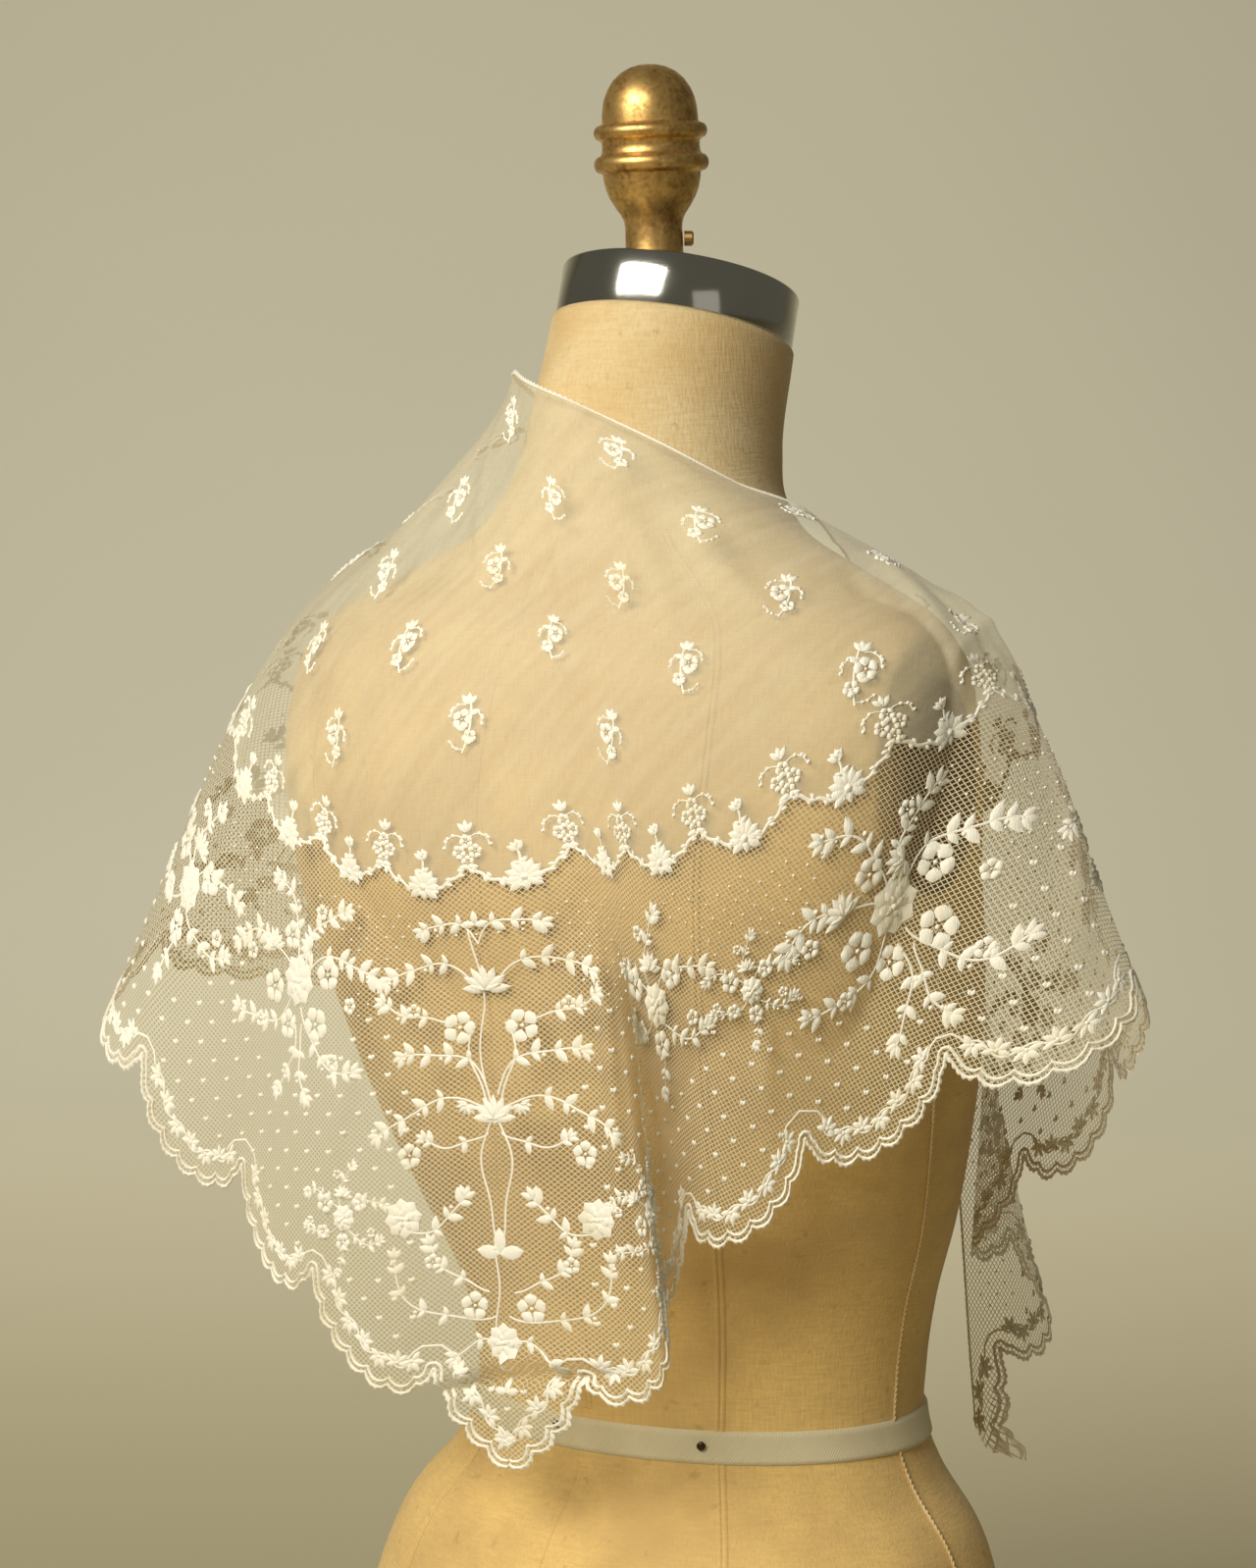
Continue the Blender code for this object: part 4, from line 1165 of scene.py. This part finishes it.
# %% The border's bouquets, tree and dots
# Each row: the flat place a and b, the size, and 1 for a posy or 0 for a bouquet
CLUSTERS = np.array([
    (0.107, 0.302, 1.15, 0), (0.196, 0.262, 1.15, 1), (0.288, 0.204, 1.10, 0),
    (0.370, 0.142, 0.95, 1), (0.448, 0.090, 0.72, 0), (0.520, 0.046, 0.48, 1),
    (-0.116, 0.298, 1.15, 1), (-0.176, 0.278, 0.70, 1), (-0.240, 0.236, 1.25, 0),
    (-0.330, 0.172, 1.05, 1), (-0.412, 0.112, 0.80, 0), (-0.488, 0.064, 0.55, 1),
    (0.080, 0.408, 0.70, 1), (-0.082, 0.404, 0.70, 0),
])
TREE_FOOT, TREE_SIZE = 0.480, 1.08
centres, spread, posy = CLUSTERS[:, :2], CLUSTERS[:, 2], CLUSTERS[:, 3] > 0
lean = math.pi - np.arctan2(centres[:, 0], centres[:, 1] + 0.25) * 1.3
bouquets = stitched("kerchief_bouquets", [
    placed(BOUQUET, centres[~posy], lean[~posy], spread[~posy]),
    placed(POSY, centres[posy], lean[posy], spread[posy]),
    placed(TREE, np.array([(0.0, TREE_FOOT)]), math.pi, TREE_SIZE),
])

DOT_NEAR, DOT_FAR, DOT_CHANGE = 7 * MM, 12 * MM, 62 * MM
CLUSTER_REACH = 36 * MM
TREE_CENTRE, TREE_HALF_WIDE, TREE_HALF_HIGH = 0.385, 42 * MM, 0.10


def border_dots(motif, pitch, nearest, furthest, hem_gap):
    """Copies of a motif on a diamond grid, between two distances beyond the
    field's edge, short of the hem, and clear of bouquets and the tree."""
    wide, deep = pitch * math.sqrt(2), pitch / math.sqrt(2)
    places = staggered(wide, deep, 4 * MM, NECK_EDGE_HALF, 0.5)
    hem_at, t = worn_place(places[:, 0], places[:, 1])
    length = fall_length(hem_at)
    by_field = np.abs(hem_at) < min(FIELD_ENDS.values())
    beyond = (t - np.where(by_field, field_share(hem_at), 0)) * length
    to_hem = (1 - t) * length - lobes(hem_at)
    gaps = np.linalg.norm(places[:, None] - centres[None], axis=-1)
    by_cluster = (gaps < CLUSTER_REACH * spread).any(axis=1)
    by_tree = np.abs(places[:, 0]) < TREE_HALF_WIDE
    by_tree &= np.abs(places[:, 1] - TREE_CENTRE) < TREE_HALF_HIGH
    keep = (beyond > nearest) & (beyond < furthest) & (to_hem > hem_gap)
    keep &= ~by_cluster & ~by_tree & (np.abs(hem_at) < HEM_END - 0.01)
    print("dots:", int(keep.sum()))
    return placed(motif, places[keep], math.pi + 0.2)


dots = stitched("kerchief_dots", [
    border_dots(boss(0.65, 0.9, 6), DOT_NEAR, 12 * MM, DOT_CHANGE, 20 * MM),
    border_dots(heart(2.7), DOT_FAR, DOT_CHANGE, 0.4, 17 * MM),
])

# %% [markdown]
# ## The corded neck edging
# A narrow edging is sewn along the whole neck edge: a cord, with a row of
# tiny loops beyond it. A strip with its outer rim in small arcs gives the
# same thin white line, and its profile is raised so that it catches light.

# %% The neck edging
PICOT_PITCH, PICOT_DEPTH = 3.2 * MM, 1.1 * MM
EDGING_REACH = np.array([2.0, 1.6, 1.0, 0.3, 0.0])[:, None] * MM
EDGING_LIFT = np.array([0.3, 0.6, 1.1, 0.9, 0.2])[:, None] * MM


def edging_strip(name):
    """A strip beyond the neck edge: flat coordinates run up from the edge,
    the rim moves out in arcs, and the middle rows stand proud as a cord."""
    hem_at = np.linspace(-HEM_END, HEM_END, 2600)
    start = flat_fall(hem_at)[0][:, 0]
    reach = np.tile(EDGING_REACH, len(hem_at))
    reach[0] += PICOT_DEPTH * np.abs(np.sin(math.pi * start / PICOT_PITCH))
    t = -reach / fall_length(hem_at)
    wide = np.broadcast_to(hem_at, t.shape)
    points = sampled(wide, t, np.broadcast_to(EDGING_LIFT, t.shape))
    return grid_object(name, points, EDGING, flat_place(wide, t))


edging = edging_strip("kerchief_edging")
print("edging", len(edging.data.polygons) * 2, "triangles")

# %% [markdown]
# ## Canvas, metal, tape and wood
# The form is covered with linen canvas that has browned unevenly over many
# years. Its neck has a polished steel band and a finial of gilt bronze whose
# gilding has worn to dark patches.

# %% The form's finishes
CANVAS_PALE = colour(228, 206, 158)
CANVAS_GOLD = colour(244, 206, 126)
CANVAS_BROWN = colour(204, 168, 104)
TWILL_PITCH = 1.1 * MM


def canvas_finish():
    """Plain weave: the product of two fine waves, with slow brown stains."""
    made, place, _ = new_finish("canvas", Roughness=0.9, Sheen_Weight=0.15)
    stains = noise(place, 9, detail=4, rough=0.6)
    slubs = noise(scaled(place, 1, 1, 0.12), 900)
    slubs += noise(scaled(place, 0.12, 0.12, 1), 900)
    fine = noise(place, 160, detail=2)
    height = dot(place, (0, 0, 1))
    # Paler towards the neck and more golden lower down, by height.
    tone = blend(height.ramp(0.50, 0.70), CANVAS_GOLD, CANVAS_PALE)
    stained_tone = blend(stains.ramp(0.35, 0.72), tone, CANVAS_BROWN)
    spots = blend(fine.ramp(0.62, 0.80, 0.0, 0.35), stained_tone, colour(140, 102, 54))
    return feed(
        made,
        Base_Color=blend(slubs.ramp(0.7, 1.3, 0.0, 0.4), spots, colour(200, 166, 106)),
        Normal=bumped(slubs, 0.35 * MM, 0.7),
    )


def steel_finish():
    """Polished steel with faint clouding and fine round scratches."""
    made, place, _ = new_finish("steel", Metallic=1.0)
    cloud = noise(place, 25, detail=3)
    scratches = noise(scaled(place, 0.2, 0.2, 1), 1200)
    return feed(
        made,
        Base_Color=blend(cloud, colour(214, 212, 204), colour(188, 184, 170)),
        Roughness=cloud.ramp(0.3, 0.8, 0.09, 0.17) + scratches * 0.03,
        Normal=bumped(scratches, 0.05 * MM, 0.2),
    )


def gilt_finish():
    """Gilding over dark bronze: the gold goes where two noises are low."""
    made, place, _ = new_finish("gilt", Metallic=0.85)
    patches = noise(place, 110, detail=5, rough=0.65)
    specks = noise(place, 480, detail=3)
    worn = (patches * 0.6 + specks * 0.4).ramp(0.36, 0.72)
    return feed(
        made,
        Base_Color=blend(worn, colour(226, 186, 112), colour(142, 102, 54)),
        Roughness=worn * 0.15 + 0.34,
        Normal=bumped(worn, 0.06 * MM, 0.4),
    )


def tape_finish():
    """Twill: diagonal ribs, a sine of height plus the way round."""
    made, _, cut = new_finish("tape", Roughness=0.85, Sheen_Weight=0.15)
    wave = 2 * math.pi / TWILL_PITCH
    phase = dot(cut, (wave * 0.8, wave * 0.6, 0))
    ribs = phase.math("SINE", phase) * 0.5 + 0.5
    stained_tone = noise(cut, 40, detail=3)
    shade = blend(stained_tone, colour(240, 230, 196), colour(214, 200, 158))
    return feed(
        made,
        Base_Color=blend(ribs * 0.35, shade, colour(196, 180, 136)),
        Normal=bumped(ribs, 0.2 * MM, 0.6),
    )


def wood_finish():
    """Grain: noise drawn out along Y, sharpened into thin dark lines."""
    made, place, _ = new_finish("wood", Roughness=0.55)
    grain = noise(scaled(place, 1, 0.06, 1), 260, detail=4, rough=0.6)
    slow = noise(scaled(place, 1, 0.2, 1), 30)
    tone = blend(slow, colour(136, 92, 52), colour(108, 70, 38))
    return feed(
        made,
        Base_Color=blend(grain.ramp(0.5, 0.75), tone, colour(66, 40, 20)),
        Normal=bumped(grain, 0.2 * MM, 0.4),
    )


def plate_finish():
    """Covered board with a coarse weave: dark browns as painted shade, mottled by
    rubbing.
    """
    made, place, _ = new_finish("arm_plate", Roughness=0.85)
    rubbed = noise(place, 60, detail=4)
    weave = noise(scaled(place, 1, 0.1, 1), 900) + noise(scaled(place, 1, 1, 0.1), 900)
    return feed(
        made,
        # The two dark browns are painted shade on the armhole plates; the noise between
        # them is rubbing.
        Base_Color=blend(rubbed, colour(150, 116, 66), colour(108, 80, 42)),
        Normal=bumped(weave, 0.3 * MM, 0.6),
    )


def pin_finish():
    """Darkened steel with a little brown rust."""
    made, place, _ = new_finish("pin", Metallic=0.9)
    rust = noise(place, 700, detail=3)
    return feed(
        made,
        Base_Color=blend(rust.ramp(0.5, 0.7), colour(70, 60, 48), colour(96, 60, 32)),
        Roughness=rust * 0.4 + 0.2,
    )


CANVAS = canvas_finish()
STEEL = steel_finish()
GILT = gilt_finish()
TAPE = tape_finish()
WOOD = wood_finish()
PLATE = plate_finish()
PIN = pin_finish()
print("form finishes made")

# %% [markdown]
# ## The canvas body
# The real body is papier-mache under padding and canvas. Its skin is one
# closed surface round the table of sections. Seams are modelled as narrow
# welts, because a welt catches light on one side and shades the other.

# %% The canvas
CANVAS_AROUND, CANVAS_UP = 300, 240
FIRST = FORM_LEVELS[0].height


def canvas_body():
    """The form's surface at even heights, closed flat below and above."""
    heights = np.linspace(FIRST, NECK_TOP, CANVAS_UP)[:, None]
    turn = np.linspace(0, 2 * math.pi, CANVAS_AROUND, endpoint=False)[None, :]
    turn, heights = np.broadcast_arrays(turn, heights)
    points = form_points(turn, heights)
    wall = grid_faces(*turn.shape, closed=True)
    ends = [points[0].mean(axis=0), points[-1].mean(axis=0)]
    low, high = turn.size, turn.size + 1
    here = np.arange(CANVAS_AROUND)
    there = (here + 1) % CANVAS_AROUND
    top = turn.size - CANVAS_AROUND
    caps = [(low, b, a) for a, b in zip(here, there)]
    caps += [(high, top + a, top + b) for a, b in zip(here, there)]
    # Turn runs clockwise seen from above, so the wall's quads are reversed
    faces = [tuple(face[::-1]) for face in wall.tolist()]
    faces += [tuple(int(corner) for corner in face[::-1]) for face in caps]
    everything = np.concatenate([points.reshape(-1, 3), ends])
    return new_object("form_canvas", everything, faces, CANVAS)


canvas = canvas_body()
print("canvas", len(canvas.data.polygons), "faces")

# %% Seams and side cords
Seam = namedtuple("Seam", "low high turn_low turn_high")
SEAMS = [
    Seam(0.276, 0.690, 0.0, 0.0),
    Seam(0.020, 0.252, 4.0, 2.0),
    Seam(0.020, 0.665, -32.5, -37.0),
    Seam(0.020, 0.665, 36.0, 40.0),
    Seam(0.020, 0.655, -140.0, -142.0),
    Seam(0.020, 0.655, 140.0, 142.0),
]
WELT = np.array([
    (-2.6, 0.0), (-1.5, 0.55), (-0.5, 0.35), (0.0, -0.3),
    (0.5, 0.35), (1.5, 0.55), (2.6, 0.0),
]) * MM
CORD_TURN = math.radians(87)
CORD_RADIUS = 0.75 * MM
CORD_TWIST = 5.2 * MM
CORD_FROM, CORD_TO, CORD_POINTS = 0.020, 0.500, 640


def seam_welt(seam):
    """A strip along a seam: the welt's profile carried up the form, each
    point moved across by its own turn and out by its own height."""
    height = np.linspace(seam.low, seam.high, 160)[:, None]
    share = (height - seam.low) / (seam.high - seam.low)
    turn = np.radians(seam.turn_low + (seam.turn_high - seam.turn_low) * share)
    width = form_level(height)[..., 1]
    points = form_points(turn - WELT[:, 0] / width, height, WELT[:, 1] + 0.15 * MM)
    return points.reshape(-1, 3), grid_faces(*points.shape[:2])


def rope(path, radius, twist, strands, sides=6):
    """Twisted strands along a path: each strand's middle goes round the path
    once a twist, and a ring of sides goes round the strand's middle."""
    along = np.gradient(path, axis=0)
    step = np.linalg.norm(along, axis=1, keepdims=True)
    along /= step
    side = np.cross(along, [0.13, 0.71, 0.69])
    side /= np.linalg.norm(side, axis=1, keepdims=True)
    other = np.cross(along, side)
    phase = np.cumsum(step[:, 0]) / twist * 2 * math.pi
    ring = np.linspace(0, 2 * math.pi, sides, endpoint=False)[None, :, None]
    parts = []
    for strand in range(strands):
        turn = (phase + strand * 2 * math.pi / strands)[:, None]
        middle = path + (np.cos(turn) * side + np.sin(turn) * other) * radius * 0.5
        tube = middle[:, None] + radius * 0.62 * (
            np.cos(ring) * side[:, None] + np.sin(ring) * other[:, None]
        )
        parts.append((tube.reshape(-1, 3), grid_faces(len(path), sides, closed=True)))
    return joined(parts)


def side_cord(side):
    """The twisted cord up one side of the form, from hip to underarm."""
    height = np.linspace(CORD_FROM, CORD_TO, CORD_POINTS)
    turn = np.full(height.shape, side * CORD_TURN)
    return rope(form_points(turn, height, CORD_RADIUS), CORD_RADIUS, CORD_TWIST, 2)


seams = new_object("form_seams", *joined([seam_welt(seam) for seam in SEAMS]), CANVAS)
cords = new_object("form_side_cords", *joined([side_cord(1), side_cord(-1)]), TAN_CORD)
print("seams", len(seams.data.polygons), "cord faces", len(cords.data.polygons))

# %% [markdown]
# ## Waist tape and pins
# A cotton twill tape marks the waist and is held by pins. The tape is a
# ribbon round the form with slightly rolled edges, and its pattern follows
# a map of the way round against the height.

# %% Tape
TAPE_HEIGHT, TAPE_WIDTH, TAPE_OUT = 0.264, 14.5 * MM, 1.8 * MM


def tape_ribbon():
    """A closed band round the waist: across it, the height goes from edge to
    edge and the distance out is highest just inside both edges."""
    across = np.linspace(-1, 1, 13)[:, None]
    turn = np.linspace(0, 2 * math.pi, 241)[None, :]
    sway = 0.5 * MM * np.sin(3 * turn + 1.0) * (1 - np.abs(across)) * 0.4
    height = TAPE_HEIGHT + TAPE_WIDTH / 2 * across + sway
    rolled = 0.25 * MM * np.exp(-(((np.abs(across) - 0.86) / 0.08) ** 2))
    out = TAPE_OUT * (1 - across**8) + rolled + 0.1 * MM
    turn, height, out = np.broadcast_arrays(turn, height, out)
    cut = np.stack([turn * 0.1, height], axis=-1)
    points = form_points(turn, height, out)
    faces = grid_faces(*turn.shape)[:, ::-1]
    return new_object("waist_tape", points, faces, TAPE, cut)


tape = tape_ribbon()

# %% [markdown]
# ## The neck band and the finial
# Turned work is a profile carried once round an axis. The band leans with
# the neck, the finial stands nearly upright on it, and its foot is cut to
# the band's slope. A finer profile than the solid's gives the finial true
# rings and hollows.

# %% Turned metal
BAND_RADIUS, BAND_HEIGHT = 54.0 * MM, 25.0 * MM
FINIAL_BACK, FINIAL_LEAN = 33.5 * MM, math.radians(3.5)
NECK_AXIS = np.array([0.0, -math.sin(NECK_LEAN), math.cos(NECK_LEAN)])
BAND_FOOT = np.array([0.0, FORM_LEVELS[-1].centre, NECK_TOP]) + NECK_AXIS * SEAM
BAND_TOP = BAND_FOOT + NECK_AXIS * BAND_HEIGHT
FINIAL_AXIS = np.array([0.0, math.sin(FINIAL_LEAN), math.cos(FINIAL_LEAN)])
FINIAL_RISE = math.tan(NECK_LEAN) * (FINIAL_BACK - BAND_TOP[1])
FINIAL_FOOT = np.array([0.0, FINIAL_BACK, BAND_TOP[2] + FINIAL_RISE])

Turn = namedtuple("Turn", "height radius")
FINIAL_TURNS = in_metres(Turn, [
    (0, 13.2), (4, 12.9), (12, 12.9), (18.5, 12.8), (20.5, 13), (22.5, 13.5),
    (24.5, 14.4), (28, 16.8), (32, 19.2), (36, 20.8), (40, 21.7), (42.6, 21.9),
    (43.3, 22.4), (43.9, 24.2), (44.9, 25.2), (46.4, 25.7), (48, 25.7), (49.4, 25.2),
    (50.4, 24.4), (51, 23), (52, 22.2), (54.5, 21.9), (57, 22.1), (57.9, 23),
    (58.6, 24.5), (60, 25.3), (61.6, 25.5), (63, 25.1), (64.2, 24.2), (64.8, 22.6),
    (65.4, 21.6), (68.5, 21.5), (72.5, 21.1), (76.5, 20.2), (80.5, 18.5), (84.5, 15.8),
    (87.6, 12.4), (89.8, 8.2), (90.9, 4.2), (91.2, 0.05),
])


def turned(name, centre, axis, turns, around, finish, flat_foot=False):
    """A surface of revolution: the profile's radius carried round its axis,
    with its foot cut to the neck band's slope where that is asked for."""
    side = np.array([1.0, 0.0, 0.0])
    other = np.cross(axis, side)
    turn = np.linspace(0, 2 * math.pi, around, endpoint=False)[None, :, None]
    height = np.array([row[0] for row in turns])[:, None, None]
    radius = np.array([row[1] for row in turns])[:, None, None]
    circle = np.cos(turn) * side + np.sin(turn) * other
    points = centre + axis * height + circle * radius
    if flat_foot:
        back = points[0, :, 1] - BAND_TOP[1]
        points[0, :, 2] = BAND_TOP[2] + math.tan(NECK_LEAN) * back + SEAM
    rings, around = points.shape[:2]
    faces = grid_faces(rings, around, closed=True).tolist()
    last = range((rings - 1) * around, rings * around)
    faces += [list(range(around))[::-1], list(last)]
    made = new_object(name, points, faces, finish)
    made.data.set_sharp_from_angle(angle=math.radians(50))
    return made


band_turns = [
    Turn(0.0, BAND_RADIUS - 1.0 * MM), Turn(0.3 * MM, BAND_RADIUS - 0.3 * MM),
    Turn(1.0 * MM, BAND_RADIUS), Turn(BAND_HEIGHT - 1.4 * MM, BAND_RADIUS),
    Turn(BAND_HEIGHT - 0.5 * MM, BAND_RADIUS - 0.4 * MM),
    Turn(BAND_HEIGHT - 0.1 * MM, BAND_RADIUS - 1.3 * MM),
    Turn(BAND_HEIGHT, BAND_RADIUS - 2.4 * MM), Turn(BAND_HEIGHT, 20 * MM),
]
neck_band = turned("neck_band", BAND_FOOT, NECK_AXIS, band_turns, 160, STEEL)
finial = turned("finial", FINIAL_FOOT, FINIAL_AXIS, FINIAL_TURNS, 96, GILT, True)
finial_top = FINIAL_FOOT + FINIAL_AXIS * FINIAL_TURNS[-1].height
print("finial top at", [round(float(x), 4) for x in finial_top])

# %% [markdown]
# ## Floor, backdrop, light and camera
# A pale floor sweeps up into a backdrop, so that no line crosses behind the
# form. One broad soft light stands to the upper left of the camera, as in
# the photo, with a weak fill, and a third light is for the backdrop.

# %% Stage
CAMERA_TURN = math.radians(217)
EYE_HEIGHT, AIM_HEIGHT, EYE_DISTANCE = 0.673, 0.551, 1.84
SENSOR, FOCAL_SHARE = 36.0, 4090 / 1598
AIM_RIGHT = -0.0324
SWEEP_BACK, SWEEP_RADIUS = 2.6, 3.2
# The floor's colour is darker than the wall's: painted shade.
FLOOR_PAINTED_SHADE = colour(176, 166, 132)
RIGHT = np.array([math.cos(CAMERA_TURN), math.sin(CAMERA_TURN), 0.0])
AHEAD = np.array([-math.sin(CAMERA_TURN), math.cos(CAMERA_TURN), 0.0])


def backdrop_finish():
    """Painted paper: warm grey with very slow, weak clouds, and painted shade that
    darkens the floor and fades up the sweep.
    """
    made, place, _ = new_finish("backdrop", Roughness=0.95)
    wall = blend(noise(place, 0.8), colour(203, 199, 178), colour(197, 192, 170))
    # Painted shade: the darker floor colour fades into the wall's along the way ahead.
    floor_shade_fade = dot(place, tuple(AHEAD)).ramp(0.2, SWEEP_BACK + 1.2)
    return feed(made, Base_Color=blend(floor_shade_fade, FLOOR_PAINTED_SHADE, wall))


def sweep():
    """Floor and wall in one sheet: flat, a quarter circle, then upright."""
    bend = np.linspace(0, math.pi / 2, 25)
    ahead = np.concatenate([[-6.0, 0.0], SWEEP_BACK + SWEEP_RADIUS * np.sin(bend)])
    up = np.concatenate([[0.0, 0.0], SWEEP_RADIUS * (1 - np.cos(bend))])
    ahead, up = np.append(ahead, ahead[-1]), np.append(up, 6.0)
    across = np.linspace(-7, 7, 15)
    points = (
        ahead[:, None, None] * AHEAD
        + across[None, :, None] * RIGHT
        + up[:, None, None] * np.array([0.0, 0.0, 1.0])
    )
    return grid_object("backdrop", points, backdrop_finish())


def seen_from(ahead, right, up):
    """A place given along the camera's own directions, from the form."""
    return tuple(AHEAD * ahead + RIGHT * right + np.array([0.0, 0.0, up]))


def aimed(name, data, place, aim):
    """An object of a light or a camera at a place, turned to a point."""
    made = bpy.data.objects.new(name, data)
    made.location = place
    way = Vector(aim) - Vector(place)
    made.rotation_euler = way.to_track_quat("-Z", "Y").to_euler()
    bpy.context.scene.collection.objects.link(made)
    return made


def area_light(name, place, aim, size, power):
    """A soft, slightly warm rectangular light."""
    data = bpy.data.lights.new(name, "AREA")
    data.shape, data.size, data.size_y = "RECTANGLE", size[0], size[1]
    data.energy, data.color = power, WARM
    return aimed(name, data, place, aim)


backdrop = sweep()
WARM = (1.0, 0.965, 0.89)
AIM = (0.0, 0.03, 0.55)
area_light("key", seen_from(-1.55, -1.25, 1.75), AIM, (1.7, 1.0), 59)
area_light("fill", seen_from(-2.4, 1.2, 0.9), AIM, (1.2, 1.2), 1.5)
WALL_AIM = seen_from(5.6, 0.3, 1.0)
area_light("wall_light", seen_from(1.4, -0.5, 3.0), WALL_AIM, (3, 2), 117)

world = bpy.data.worlds.new("studio")
world.use_nodes = True
sky = world.node_tree.nodes["Background"].inputs
sky["Color"].default_value, sky["Strength"].default_value = (0.80, 0.76, 0.62, 1), 0.14
bpy.context.scene.world = world
bpy.context.scene.view_settings.view_transform = "Standard"
bpy.context.scene.view_settings.look = "None"


# %% Camera
def photo_camera():
    """The camera at the photo's angle, height and distance."""
    data = bpy.data.cameras.new("camera")
    data.sensor_fit, data.sensor_width = "AUTO", SENSOR
    data.lens = SENSOR * FOCAL_SHARE
    eye = seen_from(-EYE_DISTANCE, AIM_RIGHT, EYE_HEIGHT)
    made = aimed("camera", data, eye, seen_from(0, AIM_RIGHT, AIM_HEIGHT))
    bpy.context.scene.camera = made
    return made


camera = photo_camera()
print("camera at", [round(x, 3) for x in camera.location])

# %% [markdown]
# ## What each piece stands for
# Each new piece takes the place of an imported solid or two and rides on the one body.

# %% Links to the frame
def plain_area(half, depth, bow):
    """The area under a bowed leg, mirrored: the integral of b over a."""
    a, b, _ = bowed_leg(half, depth, bow)
    return 2 * float(np.sum((a[1:] - a[:-1]) * (b[1:] + b[:-1]) / 2))


WHOLE_AREA = plain_area(NECK_EDGE_HALF, CORNER_DEPTH, HEM_BOW)
FIELD_AREA = plain_area(FIELD_HALF, FIELD_DEPTH, FIELD_BOW)

PIECES = [
    (mull, "mull", ["kerchief_field"]),
    (net_left, "net", ["kerchief_border_left"]),
    (net_right, "net", ["kerchief_border_right"]),
    (edging, "corded_edging", ["kerchief_neck_edging"]),
    (sprigs, "mull", ["kerchief_field"]),
    (garland, "mull", ["kerchief_field"]),
    (bouquets, "net", ["kerchief_border_left", "kerchief_border_right"]),
    (dots, "net", ["kerchief_border_left", "kerchief_border_right"]),
    (hem_net, "net", ["kerchief_border_left", "kerchief_border_right"]),
    (hem_work, "net", ["kerchief_border_left", "kerchief_border_right"]),
    (canvas, "canvas", ["form_torso"]),
    (seams, "canvas", ["form_torso"]),
    (cords, "canvas", ["form_torso"]),
    (tape, "tape", ["form_waist_tape"]),
    (neck_band, "steel", ["form_neck_band"]),
    (finial, "gilt", ["form_finial"]),
]
for piece, slot, nodes in PIECES:
    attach(piece, "root")
    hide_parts(*nodes)

CAD_FINISHES = [
    ("form_base", WOOD),
    ("form_set_screw", GILT),
    ("form_pin_back", PIN),
    ("form_pin_left_back", PIN),
    ("form_arm_plate_left", PLATE),
    ("form_arm_plate_right", PLATE),
]
for node, finish in CAD_FINISHES:
    frame["nodes"][node].material_slots[0].material = finish
